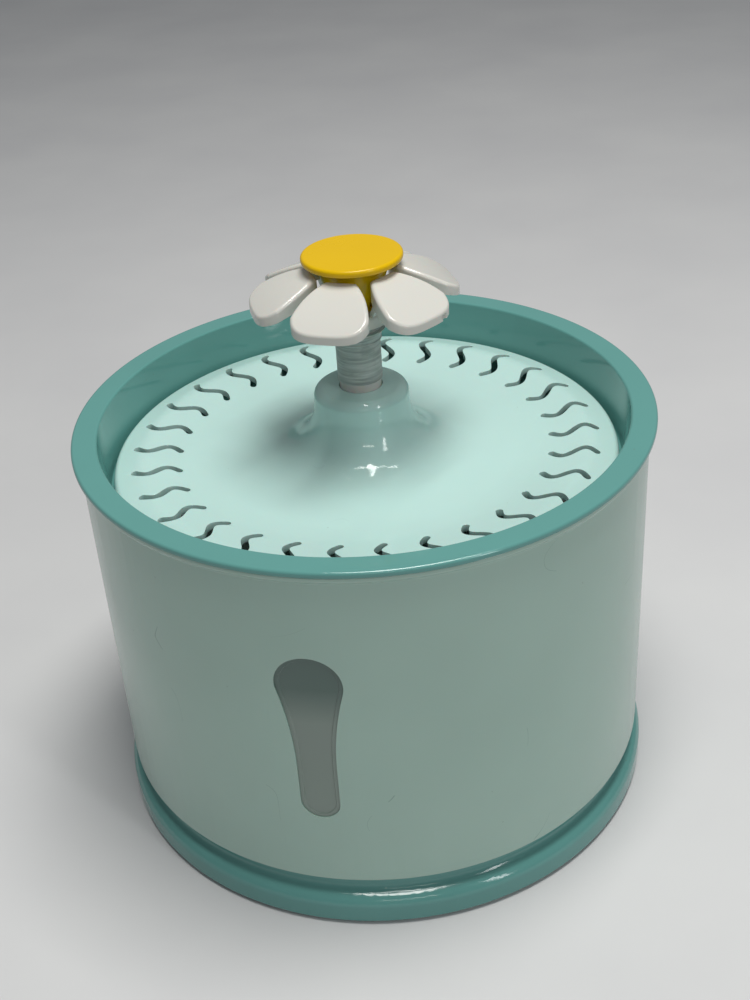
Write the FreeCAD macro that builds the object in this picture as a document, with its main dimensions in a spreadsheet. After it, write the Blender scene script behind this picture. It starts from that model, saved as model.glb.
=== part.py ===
import FreeCAD, Part
import math
import os
import Sketcher

from FreeCAD import Placement, Rotation, Vector

# Flower-topped pet water fountain.
# The origin is on the floor under the fountain's axis, +Z is up, and the level window faces -Y.
# Driving sizes in millimetres: the alias, the value and what it measures.
DRIVING = (
    ("seat_gap", 0.1, "play where one piece sits on another"),
    ("slide_gap", 0.3, "radial play where a piece lifts out of another"),
    ("running_gap", 0.05, "radial play of the rotor on its shaft"),
    ("tank_radius", 87.9, "outside of the tank wall"),
    ("tank_wall", 2.4, "tank wall"),
    ("tank_foot", 17.0, "height of the tank wall's lower edge"),
    ("tank_floor", 20.0, "height of the underside of the tank floor"),
    ("floor_thickness", 2.4, "tank floor"),
    ("tank_top", 129.4, "height of the tank's upper edge"),
    ("lip_reach", 1.5, "how far the lip round the tank's mouth stands out"),
    ("lip_thickness", 1.4, "lip"),
    ("window_top", 91.8, "height of the centre of the window's upper arc"),
    ("window_top_radius", 9.8, "upper arc of the window"),
    ("window_waist", 62.0, "height where the window's straight sides end"),
    ("window_bottom", 48.5, "height of the centre of the window's lower arc"),
    ("window_bottom_radius", 5.85, "lower arc of the window"),
    ("window_step", 1.7, "width of the ledge that the window sits on"),
    ("window_flange", 1.0, "thickness of the window's edge"),
    ("window_recess", 0.4, "depth of the window's face below the tank wall"),
    ("base_reach", 1.8, "how far the base stands out from the tank wall"),
    ("base_bottom", 1.0, "height of the base plate's underside"),
    ("base_plate", 2.4, "base plate"),
    ("base_shoulder", 10.2, "height of the base's bead"),
    ("base_wall", 2.4, "base wall"),
    ("base_bead", 4.0, "rounding of the base's bead"),
    ("base_cove", 2.4, "rounding of the cove above the bead"),
    ("screw_circle", 60.0, "distance of the base screws from the axis"),
    ("screw_radius", 1.5, "shank of a base screw"),
    ("screw_head_radius", 3.0, "head of a base screw"),
    ("screw_head", 1.9, "height of a base screw's head"),
    ("screw_length", 12.0, "shank length of a base screw"),
    ("boss_wall", 3.0, "wall round a base screw"),
    ("foot_inset", 13.7, "distance of the rubber feet from the base's edge"),
    ("foot_radius", 6.0, "rubber foot"),
    ("foot_height", 2.2, "height of a rubber foot"),
    ("rim_overhang", 0.6, "how far the tray's rim stands out from the tank's lip"),
    ("rim_thickness", 1.9, "thickness of the tray's rim"),
    ("rim_width", 7.8, "width of the tray's rim"),
    ("tray_wall", 2.2, "tray wall"),
    ("tray_draft", 2.0, "how far the tray narrows from its mouth to the ledge"),
    ("ledge_depth", 18.0, "depth of the ledge that carries the lid, below the rim"),
    ("ledge_width", 4.4, "width of that ledge"),
    ("tray_depth", 53.4, "depth of the tray's underside below the rim"),
    ("tray_taper", 1.4, "how far the basket narrows towards its floor"),
    ("collar_radius", 11.0, "inside of the collar in the tray floor"),
    ("collar_height", 8.0, "collar above the tray floor"),
    ("drain_circle", 44.0, "distance of the drain holes from the axis"),
    ("drain_radius", 1.9, "drain hole"),
    ("drain_count", 16, "drain holes"),
    ("lid_play", 1.2, "radial play of the lid in the tray"),
    ("lid_wall", 2.2, "lid wall"),
    ("lid_skirt", 4.9, "height of the lid's edge above its foot"),
    ("lid_rise", 5.9, "height where the plate meets the tower, above the lid's foot"),
    ("dish_height", 3.8, "height of the lid's dish above its foot"),
    ("dish_width", 18.0, "distance of the dish's lowest ring from the crest"),
    ("dish_sweep", 60.0, "rounding of the dish"),
    ("crest_height", 7.0, "height of the lid's outer crest above its foot"),
    ("crest_inset", 9.0, "distance of the crest from the lid's edge"),
    ("crest_sweep", 12.0, "rounding of the crest"),
    ("tower_foot_radius", 15.2, "tower at its foot"),
    ("tower_radius", 14.7, "tower at its shoulder"),
    ("tower_height", 25.9, "height of the tower above the lid's foot"),
    ("tower_sweep", 16.0, "rounding between the lid and the tower"),
    ("tower_shoulder", 3.0, "rounding of the tower's shoulder"),
    ("slot_count", 30, "slots in the lid"),
    ("slot_width", 2.2, "width of a slot"),
    ("slot_inset", 6.6, "distance of a slot's outer end from the lid's edge"),
    ("slot_length", 13.7, "length of a slot between the centres of its ends"),
    ("slot_phase", 10.5, "direction of the first slot, as an angle"),
    ("slot_swing", 2.0, "sideways reach of a slot's two bends"),
    ("riser_radius", 6.4, "riser tube"),
    ("riser_bore", 4.4, "bore of the riser tube"),
    ("riser_drop", 2.0, "how far the riser hangs below the tray"),
    ("neck_length", 7.3, "length of the riser's flared neck"),
    ("neck_radius", 7.8, "riser at its top"),
    ("riser_stop_radius", 9.4, "stop ring of the riser under the tower"),
    ("tape_thickness", 0.5, "thread tape round the riser"),
    ("tape_rise", 2.6, "height of the tape's lower edge above the tower"),
    ("stem_show", 22.0, "height of the hub's underside above the tower"),
    ("hub_radius", 10.4, "hub of the flower"),
    ("hub_height", 3.8, "height of the flower's hub"),
    ("spigot_length", 9.0, "spigot under the hub"),
    ("spigot_wall", 1.2, "wall of that spigot"),
    ("petal_count", 6, "petals"),
    ("petal_phase", -94.0, "direction of the front petal"),
    ("petal_gap", 0.5, "gap between a petal's inner end and the cap's core"),
    ("petal_rise", 13.0, "height of a petal's inner end above the hub"),
    ("petal_start_width", 9.2, "width of a petal's inner end"),
    ("petal_shoulder", 25.3, "distance of a petal's widest place"),
    ("petal_width", 23.0, "greatest width of a petal"),
    ("petal_end", 31.0, "distance of a petal's tip from the axis"),
    ("petal_end_rise", 4.3, "height of a petal's tip above the hub"),
    ("petal_crown", 0.8, "bulge of a petal's upper face"),
    ("petal_tip_depth", 2.6, "thickness of a petal at its tip"),
    ("petal_root_depth", 6.6, "thickness of a petal at its root"),
    ("petal_edge", 1.1, "rounding of a petal's upper edge"),
    ("root_width", 5.0, "width of the arm between hub and petal"),
    ("cap_radius", 15.1, "flower cap"),
    ("cap_lift", 1.7, "gap between the petals' inner ends and the cap"),
    ("cap_depth", 2.3, "thickness of the flower cap"),
    ("core_radius", 11.4, "cap's core under the disc"),
    ("core_foot_radius", 6.6, "cap's core at its foot"),
    ("stem_radius", 2.7, "stem under the cap's core"),
    ("stem_length", 8.0, "length of that stem"),
    ("stem_bore", 1.7, "water way in that stem"),
    ("port_radius", 1.1, "water port in the cap's core"),
    ("cartridge_play", 2.4, "radial play of the filter cartridge in the tray"),
    ("cartridge_height", 18.0, "height of the filter cartridge"),
    ("cartridge_wall", 1.6, "wall of the filter cartridge"),
    ("cartridge_hole", 14.0, "hole in the middle of the cartridge"),
    ("felt_thickness", 3.0, "felt on top of the cartridge"),
    ("carbon_depth", 12.0, "depth of the carbon in the cartridge"),
    ("pump_shift", 9.0, "distance of the rotor axis from the riser's axis"),
    ("pump_axis", 50.0, "height of the rotor axis"),
    ("pump_width", 38.0, "width of the pump housing"),
    ("pump_depth", 26.0, "length of the pump housing"),
    ("pump_foot", 27.4, "height of the pump's underside"),
    ("pump_head", 66.0, "height of the pump's top"),
    ("pump_wall", 2.0, "wall of the pump housing"),
    ("pump_sole", 5.0, "bottom wall of the pump housing"),
    ("well_radius", 7.8, "rotor well"),
    ("well_depth", 22.0, "depth of the rotor well"),
    ("well_wall", 1.2, "wall of the rotor well"),
    ("volute_radius", 13.4, "inside of the volute"),
    ("volute_wall", 2.2, "wall of the volute"),
    ("volute_depth", 15.0, "depth of the volute"),
    ("nozzle_bore", 3.6, "bore of the outlet nozzle"),
    ("nozzle_wall", 1.8, "wall of the outlet nozzle"),
    ("nozzle_top", 74.0, "height of the outlet nozzle"),
    ("inlet_circle", 7.6, "distance of the inlet holes from the rotor axis"),
    ("inlet_radius", 1.9, "inlet hole"),
    ("inlet_count", 8, "inlet holes"),
    ("impeller_radius", 10.8, "impeller"),
    ("impeller_hub", 3.6, "hub of the impeller"),
    ("impeller_disc", 1.2, "back disc of the impeller"),
    ("blade_height", 6.5, "height of an impeller blade"),
    ("blade_thickness", 1.4, "thickness of an impeller blade"),
    ("blade_count", 6, "impeller blades"),
    ("magnet_radius", 6.8, "rotor magnet"),
    ("magnet_length", 18.0, "length of the rotor magnet"),
    ("shaft_radius", 1.0, "rotor shaft"),
    ("bush_radius", 2.4, "rubber bush at each end of the shaft"),
    ("bush_length", 2.6, "length of a bush"),
    ("dial_radius", 12.0, "flow dial"),
    ("dial_thickness", 2.0, "flow dial"),
    ("dial_grip", 3.0, "grip on the flow dial"),
    ("foam_width", 46.0, "width of the foam sleeve"),
    ("foam_wall", 5.0, "wall of the foam sleeve"),
    ("foam_length", 22.0, "length of the foam sleeve"),
    ("core_width", 28.0, "width of the stator core"),
    ("core_stack", 13.0, "thickness of the stator's stack"),
    ("core_leg", 6.0, "width of the stator's legs"),
    ("coil_build", 3.0, "thickness of the coil's winding"),
    ("cup_radius", 6.0, "suction cup"),
    ("cup_neck", 2.0, "neck of a suction cup"),
    ("cup_inset", 6.5, "distance of the cups from the housing's sides"),
    ("cup_plug", 3.0, "plug of a suction cup in the housing"),
    ("coupler_wall", 2.0, "wall of the outlet coupler"),
    ("coupler_grip", 7.0, "length of the coupler on the nozzle"),
    ("coupler_length", 18.0, "length of the outlet coupler"),
    ("lead_radius", 1.5, "pump lead"),
    ("lead_bend", 6.0, "bend of the pump lead"),
    ("lead_exit", 34.0, "height where the lead leaves the pump"),
    ("gland_place", 48.0, "distance of the gland from the axis"),
    ("gland_radius", 4.0, "gland in the tank floor"),
    ("gland_flange", 1.6, "flange of the gland"),
    ("socket_height", 5.9, "height of the power socket's axis"),
    ("socket_radius", 2.4, "power socket"),
    ("socket_bore", 1.85, "mouth of the power socket"),
    ("socket_length", 12.5, "length of the power socket"),
    ("socket_depth", 10.0, "depth of the power socket's mouth"),
    ("socket_recess", 0.8, "depth of the socket's face below the base's side"),
    ("contact_radius", 0.65, "centre contact of the power socket"),
)

document = FreeCAD.newDocument("water_fountain")
sheet = document.addObject("Spreadsheet::Sheet", "Sizes")
for row, (alias, value, meaning) in enumerate(DRIVING, 1):
    sheet.set(f"A{row}", meaning)
    sheet.set(f"B{row}", str(value))
    sheet.setAlias(f"B{row}", alias)
document.recompute()


class Size:
    """A length that knows its value and the formula that drives it."""

    def __init__(self, value, text):
        self.value = value
        self.text = text

    def __add__(self, other):
        return joined(self, "+", other)

    def __radd__(self, other):
        return joined(other, "+", self)

    def __sub__(self, other):
        return joined(self, "-", other)

    def __rsub__(self, other):
        return joined(other, "-", self)

    def __mul__(self, other):
        return joined(self, "*", other)

    def __truediv__(self, other):
        return joined(self, "/", other)

    def __neg__(self):
        return joined(0.0, "-", self)


def sized(thing):
    return thing if isinstance(thing, Size) else Size(float(thing), repr(float(thing)))


def joined(left, sign, right):
    left = sized(left)
    right = sized(right)
    if sign == "+":
        value = left.value + right.value
    elif sign == "-":
        value = left.value - right.value
    elif sign == "*":
        value = left.value * right.value
    else:
        value = left.value / right.value
    return Size(value, f"({left.text} {sign} {right.text})")


def size(alias):
    return Size(float(sheet.get(alias)), f"Sizes.{alias}")


def bind(thing, prop, amount):
    thing.setExpression(prop, sized(amount).text)


def place(thing, x=0.0, y=0.0, z=0.0, turn=None):
    """Puts a piece at a point, with an optional turn given as an axis and an angle."""
    rotation = Rotation(Vector(*turn[0]), turn[1]) if turn else Rotation()
    x, y, z = sized(x), sized(y), sized(z)
    thing.Placement = Placement(Vector(x.value, y.value, z.value), rotation)
    bind(thing, "Placement.Base.x", x)
    bind(thing, "Placement.Base.y", y)
    bind(thing, "Placement.Base.z", z)
    return thing


pieces = []


def piece(thing, label):
    thing.Label = label
    pieces.append(thing)
    return thing


# Sketches


def new_body(label):
    return piece(document.addObject("PartDesign::Body", label), label)


def new_sketch(body, name, plane, lift=0.0):
    sketch = body.newObject("Sketcher::SketchObject", name)
    origin = next(f for f in body.Origin.OriginFeatures if f.Role == plane)
    sketch.AttachmentSupport = (origin, [""])
    sketch.MapMode = "FlatFace"
    sketch.AttachmentOffset = Placement(Vector(0, 0, sized(lift).value), Rotation())
    bind(sketch, "AttachmentOffset.Base.z", lift)
    return sketch


def drive(sketch, number, amount):
    sketch.setExpression(f"Constraints[{number}]", amount.text)


def pin_point(sketch, line, end, x, y):
    """Holds one end of a line at a place that the sheet drives."""
    if abs(x.value) < 1e-9:
        sketch.addConstraint(Sketcher.Constraint("PointOnObject", line, end, -2))
    else:
        drive(sketch, sketch.addConstraint(Sketcher.Constraint("DistanceX", -1, 1, line, end, x.value)), x)
    if abs(y.value) < 1e-9:
        sketch.addConstraint(Sketcher.Constraint("PointOnObject", line, end, -1))
    else:
        drive(sketch, sketch.addConstraint(Sketcher.Constraint("DistanceY", -1, 1, line, end, y.value)), y)


def polygon(sketch, points):
    points = [(sized(x), sized(y)) for x, y in points]
    first = sketch.GeometryCount
    count = len(points)
    for i in range(count):
        x, y = points[i]
        u, v = points[(i + 1) % count]
        sketch.addGeometry(Part.LineSegment(Vector(x.value, y.value, 0), Vector(u.value, v.value, 0)), False)
    for i in range(count):
        sketch.addConstraint(Sketcher.Constraint("Coincident", first + i, 2, first + (i + 1) % count, 1))
    for i, (x, y) in enumerate(points):
        pin_point(sketch, first + i, 1, x, y)
    return sketch


def circle(sketch, x, y, radius):
    x, y, radius = sized(x), sized(y), sized(radius)
    ring = sketch.addGeometry(Part.Circle(Vector(x.value, y.value, 0), Vector(0, 0, 1), radius.value), False)
    drive(sketch, sketch.addConstraint(Sketcher.Constraint("Radius", ring, radius.value)), radius)
    pin_point(sketch, ring, 3, x, y)
    return sketch


def capsule(sketch, start, end, width):
    """Draws a slot with round ends between two points."""
    start = [sized(a) for a in start]
    end = [sized(a) for a in end]
    half = sized(width) / 2
    a = Vector(start[0].value, start[1].value, 0)
    b = Vector(end[0].value, end[1].value, 0)
    along = b - a
    angle = math.atan2(along.y, along.x)
    side = Vector(-math.sin(angle), math.cos(angle), 0) * half.value
    up = Vector(0, 0, 1)
    left = sketch.addGeometry(Part.LineSegment(b + side, a + side), False)
    head = sketch.addGeometry(
        Part.ArcOfCircle(Part.Circle(a, up, half.value), angle + math.pi / 2, angle + 3 * math.pi / 2), False)
    right = sketch.addGeometry(Part.LineSegment(a - side, b - side), False)
    tail = sketch.addGeometry(
        Part.ArcOfCircle(Part.Circle(b, up, half.value), angle - math.pi / 2, angle + math.pi / 2), False)
    ring = [(left, head), (head, right), (right, tail), (tail, left)]
    for one, other in ring:
        sketch.addConstraint(Sketcher.Constraint("Tangent", one, 2, other, 1))
    drive(sketch, sketch.addConstraint(Sketcher.Constraint("Radius", head, half.value)), half)
    pin_point(sketch, head, 3, *start)
    pin_point(sketch, tail, 3, *end)
    return sketch


def window_outline(sketch, inset):
    """Draws the window: a large upper arc, hollow sides, straight sides and a small lower arc."""
    top_radius = size("window_top_radius") - inset
    low_radius = size("window_bottom_radius") - inset
    top, waist, low = size("window_top"), size("window_waist"), size("window_bottom")
    rise = top.value - waist.value
    step = top_radius.value - low_radius.value
    hollow = (rise ** 2 - step * (top_radius.value + low_radius.value)) / (2 * step)
    swing = math.asin(rise / (hollow + top_radius.value))
    up = Vector(0, 0, 1)
    head = sketch.addGeometry(Part.ArcOfCircle(
        Part.Circle(Vector(0, top.value, 0), up, top_radius.value), -swing, math.pi + swing), False)
    left_hollow = sketch.addGeometry(Part.ArcOfCircle(
        Part.Circle(Vector(-low_radius.value - hollow, waist.value, 0), up, hollow), 0.0, swing), False)
    left_line = sketch.addGeometry(Part.LineSegment(
        Vector(-low_radius.value, waist.value, 0), Vector(-low_radius.value, low.value, 0)), False)
    foot = sketch.addGeometry(Part.ArcOfCircle(
        Part.Circle(Vector(0, low.value, 0), up, low_radius.value), math.pi, 2 * math.pi), False)
    right_line = sketch.addGeometry(Part.LineSegment(
        Vector(low_radius.value, low.value, 0), Vector(low_radius.value, waist.value, 0)), False)
    right_hollow = sketch.addGeometry(Part.ArcOfCircle(
        Part.Circle(Vector(low_radius.value + hollow, waist.value, 0), up, hollow),
        math.pi - swing, math.pi), False)
    links = (
        (head, 2, left_hollow, 2), (left_hollow, 1, left_line, 1), (left_line, 2, foot, 1),
        (foot, 2, right_line, 1), (right_line, 2, right_hollow, 2), (right_hollow, 1, head, 1))
    for one, one_end, other, other_end in links:
        sketch.addConstraint(Sketcher.Constraint("Tangent", one, one_end, other, other_end))
    drive(sketch, sketch.addConstraint(Sketcher.Constraint("Radius", head, top_radius.value)), top_radius)
    drive(sketch, sketch.addConstraint(Sketcher.Constraint("Radius", foot, low_radius.value)), low_radius)
    pin_point(sketch, head, 3, sized(0), top)
    pin_point(sketch, foot, 3, sized(0), low)
    sketch.addConstraint(Sketcher.Constraint("Vertical", left_line))
    for line, end in ((left_line, 1), (right_line, 2)):
        number = sketch.addConstraint(Sketcher.Constraint("DistanceY", -1, 1, line, end, waist.value))
        drive(sketch, number, waist)
    return sketch


# Features


def feature(body, kind, name, sketch):
    made = body.newObject(kind, name)
    made.Profile = sketch
    sketch.Visibility = False
    body.Tip = made
    return made


def revolved(label, points):
    """A body turned about its own Z axis from a profile of radius and height."""
    body = new_body(label)
    sketch = polygon(new_sketch(body, label + "_profile", "XZ_Plane"), points)
    turned = feature(body, "PartDesign::Revolution", label + "_turned", sketch)
    turned.ReferenceAxis = (sketch, ["V_Axis"])
    turned.Angle = 360
    document.recompute()
    return body


def pad(body, name, sketch, length):
    added = feature(body, "PartDesign::Pad", name, sketch)
    bind(added, "Length", length)
    document.recompute()
    return added


def pocket(body, name, sketch, length, outward=False):
    """Cuts along the sketch's normal when outward is true and against it otherwise."""
    before = body.Shape.Volume
    cut = feature(body, "PartDesign::Pocket", name, sketch)
    cut.Type = "Length"
    cut.Reversed = outward
    bind(cut, "Length", length)
    document.recompute()
    if not body.Shape.Volume < before - 1e-6:
        raise RuntimeError(name + " cuts nothing")
    return cut


def around(body, name, originals, count):
    """Repeats features evenly round the body's Z axis."""
    ring = body.newObject("PartDesign::PolarPattern", name)
    ring.Originals = originals
    axis = next(f for f in body.Origin.OriginFeatures if f.Role == "Z_Axis")
    ring.Axis = (axis, [""])
    ring.Angle = 360
    bind(ring, "Occurrences", count)
    body.Tip = ring
    document.recompute()
    return ring


def ring_edges(shape, spots):
    """Finds the round edges about Z at the given radii and heights."""
    found = []
    for radius, height in spots:
        radius, height = sized(radius).value, sized(height).value
        for number, edge in enumerate(shape.Edges, 1):
            curve = edge.Curve
            if not isinstance(curve, Part.Circle):
                continue
            if abs(curve.Radius - radius) < 0.01 and abs(curve.Center.z - height) < 0.01:
                found.append(f"Edge{number}")
                break
        else:
            raise RuntimeError(f"no edge of radius {radius} at height {height}")
    return found


def soften(body, name, spots, radius):
    """Rounds the round edges at the given radii and heights."""
    base = body.Tip
    fillet = body.newObject("PartDesign::Fillet", name)
    fillet.Base = (base, ring_edges(base.Shape, spots))
    bind(fillet, "Radius", radius)
    body.Tip = fillet
    document.recompute()
    return fillet


# Solids from primitives


ALONG = {"x": ((0, 1, 0), 90), "y": ((1, 0, 0), -90), "z": None}


def rod(name, radius, length, x, y, z, along="z"):
    """A cylinder that starts at a point and runs along an axis."""
    solid = document.addObject("Part::Cylinder", name)
    bind(solid, "Radius", radius)
    bind(solid, "Height", length)
    return place(solid, x, y, z, ALONG[along])


def block(name, low, high):
    """A box between two corners."""
    solid = document.addObject("Part::Box", name)
    for prop, a, b in zip(("Length", "Width", "Height"), low, high):
        bind(solid, prop, sized(b) - a)
    return place(solid, *low)


def fused(name, solids):
    whole = document.addObject("Part::MultiFuse", name)
    whole.Shapes = solids
    return whole


def bored(name, base, tools):
    """The base with every tool cut out of it."""
    tool = tools[0] if len(tools) == 1 else fused(name + "_tools", tools)
    cut = document.addObject("Part::Cut", name)
    cut.Base = base
    cut.Tool = tool
    return cut


def common(name, one, other):
    meet = document.addObject("Part::Common", name)
    meet.Base = one
    meet.Tool = other
    return meet


def group(label, solids):
    """Several equal solids in one node."""
    whole = document.addObject("Part::Compound", label)
    whole.Links = solids
    return piece(whole, label)


def corner_places(distance):
    """The four places on the diagonals at a distance from the axis."""
    share = distance * math.sqrt(0.5)
    return [(share * a, share * b) for a, b in ((1, 1), (-1, 1), (-1, -1), (1, -1))]


# Sizes that several pieces share

gap = size("seat_gap")
slide = size("slide_gap")
tank_inside = size("tank_radius") - size("tank_wall")
floor_top = size("tank_floor") + size("floor_thickness")
lip_radius = size("tank_radius") + size("lip_reach")
base_radius = size("tank_radius") + size("base_reach")
foot_circle = base_radius - size("foot_inset")
plate_top = size("base_bottom") + size("base_plate")
rim_under = size("tank_top") + gap
rim_top = rim_under + size("rim_thickness")
rim_radius = lip_radius + size("rim_overhang")
tray_mouth = rim_radius - size("rim_width")
tray_throat = tray_mouth - size("tray_draft")
tray_ledge = rim_top - size("ledge_depth")
tray_foot = rim_top - size("tray_depth")
tray_floor_top = tray_foot + size("tray_wall")
basket_inside = tray_throat - size("ledge_width")
basket_foot_inside = basket_inside - size("tray_taper")
cartridge_radius = basket_foot_inside - size("cartridge_play")
cartridge_foot = tray_floor_top + size("seat_gap")
cartridge_top = cartridge_foot + size("cartridge_height")
lid_foot = tray_ledge + gap
lid_radius = tray_throat - size("lid_play")
tower_top = lid_foot + size("tower_height")
slot_end = lid_radius - size("slot_inset")
slot_start = slot_end - size("slot_length")
hub_foot = tower_top + size("stem_show")
hub_top = hub_foot + size("hub_height")
riser_foot = tray_foot - size("riser_drop")
riser_head = hub_foot - gap
neck_start = riser_head - size("neck_length")
petal_start = size("core_radius") + size("petal_gap")
petal_start_height = hub_top + size("petal_rise")
petal_end_height = hub_top + size("petal_end_rise")
cap_top = petal_start_height + size("cap_lift") + size("cap_depth")
nozzle_radius = size("nozzle_bore") + size("nozzle_wall")
coupler_radius = size("riser_radius") + slide + size("coupler_wall")
volute_outside = size("volute_radius") + size("volute_wall")
half_volute = size("volute_depth") / 2
pump_front = half_volute + gap
cover_front = half_volute + size("volute_wall")
screw_seat = size("base_bottom") + size("screw_head") + gap
screw_hole = size("screw_radius") + size("running_gap")


def tank_shell():
    radius, wall_inside, top = size("tank_radius"), tank_inside, size("tank_top")
    lip_low = top - size("lip_thickness")
    body = revolved("tank_shell", (
        (0, size("tank_floor")), (wall_inside, size("tank_floor")), (wall_inside, size("tank_foot")),
        (radius, size("tank_foot")), (radius, lip_low - size("lip_thickness")), (lip_radius, lip_low),
        (lip_radius, top), (wall_inside, top), (wall_inside, floor_top), (0, floor_top)))
    soften(body, "tank_floor_round", [(wall_inside, floor_top)], size("tank_wall") * 2)
    soften(body, "tank_lip_round", [(lip_radius, top), (lip_radius, lip_low)], size("lip_thickness") / 3)
    soften(body, "tank_foot_round", [(radius, size("tank_foot"))], size("tank_wall") / 3)
    bosses = new_sketch(body, "boss_outline", "XY_Plane", size("tank_floor"))
    pilots = new_sketch(body, "pilot_outline", "XY_Plane", size("tank_floor"))
    for x, y in corner_places(size("screw_circle")):
        circle(bosses, x, y, size("screw_radius") + size("boss_wall"))
        circle(pilots, x, y, size("screw_radius"))
    boss_foot = screw_seat + size("base_plate") + gap
    boss = pad(body, "screw_bosses", bosses, size("tank_floor") - boss_foot)
    boss.Reversed = True
    document.recompute()
    pocket(body, "screw_pilots", pilots, size("tank_floor") - boss_foot)
    hole = circle(new_sketch(body, "gland_hole", "XY_Plane", floor_top), 0, size("gland_place"),
                  size("gland_radius"))
    pocket(body, "gland_opening", hole, size("floor_thickness") * 2)
    return body


def window_prism(name, inset):
    """A bar with the window's outline that runs through the front of the tank wall."""
    body = document.addObject("PartDesign::Body", name)
    sketch = window_outline(new_sketch(body, name + "_outline", "XZ_Plane"), inset)
    pad(body, name + "_bar", sketch, size("tank_radius") + size("tank_wall"))
    return body


def wall_layer(name, outside, inside):
    """A tube with the tank's axis, used to shape the window to the wall."""
    foot = size("tank_foot")
    length = size("tank_top") - foot
    outer = rod(name + "_outer", outside, length, 0, 0, foot)
    inner = rod(name + "_inner", inside, length, 0, 0, foot)
    return bored(name, outer, [inner])


def tank_and_window():
    """The tank with its window opening, and the stepped window that fills it."""
    shell = tank_shell()
    pieces.remove(shell)
    shell.Label = "tank_blank"
    wide = window_prism("window_recess_bar", 0.0)
    narrow = window_prism("window_hole_bar", size("window_step"))
    face = size("tank_radius") - size("window_recess")
    ledge = face - size("window_flange")
    beyond = size("tank_radius") + size("tank_wall")
    recess = common("window_recess_cut", wide, wall_layer("recess_layer", beyond, ledge))
    hole = common("window_hole_cut", narrow, wall_layer("hole_layer", beyond, tank_inside - size("tank_wall")))
    tank = piece(bored("tank_shell_cut", shell, [recess, hole]), "tank_shell")
    flange = common("window_flange_part", wide, wall_layer("flange_layer", face, ledge))
    plug = common("window_plug_part", narrow, wall_layer("plug_layer", ledge, tank_inside))
    window = piece(fused("level_window_whole", [flange, plug]), "level_window")
    return tank, window


def base_skirt():
    radius, shoulder, wall = base_radius, size("base_shoulder"), size("base_wall")
    bottom = size("base_bottom")
    ring_outside = tank_inside - slide
    ring_inside = ring_outside - wall
    ring_top = size("tank_floor") - slide
    cove = shoulder + size("lip_thickness") / 2
    body = revolved("base_skirt", (
        (0, bottom), (radius, bottom), (radius, shoulder), (ring_outside, cove), (ring_outside, ring_top),
        (ring_inside, ring_top), (ring_inside, shoulder - wall * 0.7), (radius - wall, shoulder - wall),
        (radius - wall, plate_top), (0, plate_top)))
    soften(body, "base_bead_round", [(radius, shoulder)], size("base_bead"))
    soften(body, "base_cove_round", [(ring_outside, cove)], size("base_cove"))
    soften(body, "base_foot_round", [(radius, bottom)], size("base_bottom"))
    posts = new_sketch(body, "post_outline", "XY_Plane", size("base_bottom"))
    sinks = new_sketch(body, "sink_outline", "XY_Plane", size("base_bottom"))
    holes = new_sketch(body, "screw_hole_outline", "XY_Plane", size("base_bottom"))
    seats = new_sketch(body, "foot_seat_outline", "XY_Plane", size("base_bottom"))
    for x, y in corner_places(size("screw_circle")):
        circle(posts, x, y, size("screw_head_radius") + size("boss_wall"))
        circle(sinks, x, y, size("screw_head_radius") + slide)
        circle(holes, x, y, screw_hole)
    for x, y in corner_places(foot_circle):
        circle(seats, x, y, size("foot_radius"))
    post_top = screw_seat + size("base_plate")
    pad(body, "screw_posts", posts, post_top - size("base_bottom"))
    pocket(body, "screw_sinks", sinks, screw_seat - size("base_bottom"), outward=True)
    pocket(body, "screw_holes", holes, post_top, outward=True)
    pocket(body, "foot_seats", seats, size("foot_height") - size("base_bottom"), outward=True)
    pieces.remove(body)
    body.Label = "base_blank"
    mouth = rod("socket_hole", size("socket_radius") + size("running_gap"), size("socket_length") * 2,
                0, base_radius - size("socket_length"), size("socket_height"), "y")
    return piece(bored("base_skirt_cut", body, [mouth]), "base_skirt")


def base_fixings():
    """Four screws and four rubber feet on the diagonals."""
    screws = []
    feet = []
    for i, (x, y) in enumerate(corner_places(size("screw_circle"))):
        head = rod(f"screw_head_{i}", size("screw_head_radius"), size("screw_head"), x, y,
                   screw_seat - size("screw_head"))
        shank = rod(f"screw_shank_{i}", size("screw_radius"), size("screw_length"), x, y, screw_seat)
        slot = size("screw_head") / 2
        across = size("screw_head_radius") * 0.6
        cross = [
            block(f"screw_slot_{i}", (x - across, y - 0.4, screw_seat - size("screw_head")),
                  (x + across, y + 0.4, screw_seat - slot)),
            block(f"screw_cross_{i}", (x - 0.4, y - across, screw_seat - size("screw_head")),
                  (x + 0.4, y + across, screw_seat - slot)),
        ]
        screws.append(bored(f"screw_{i}", fused(f"screw_whole_{i}", [head, shank]), cross))
    for i, (x, y) in enumerate(corner_places(foot_circle)):
        feet.append(rod(f"foot_{i}", size("foot_radius"), size("foot_height"), x, y, 0))
    group("base_screws", screws)
    group("rubber_feet", feet)


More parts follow.
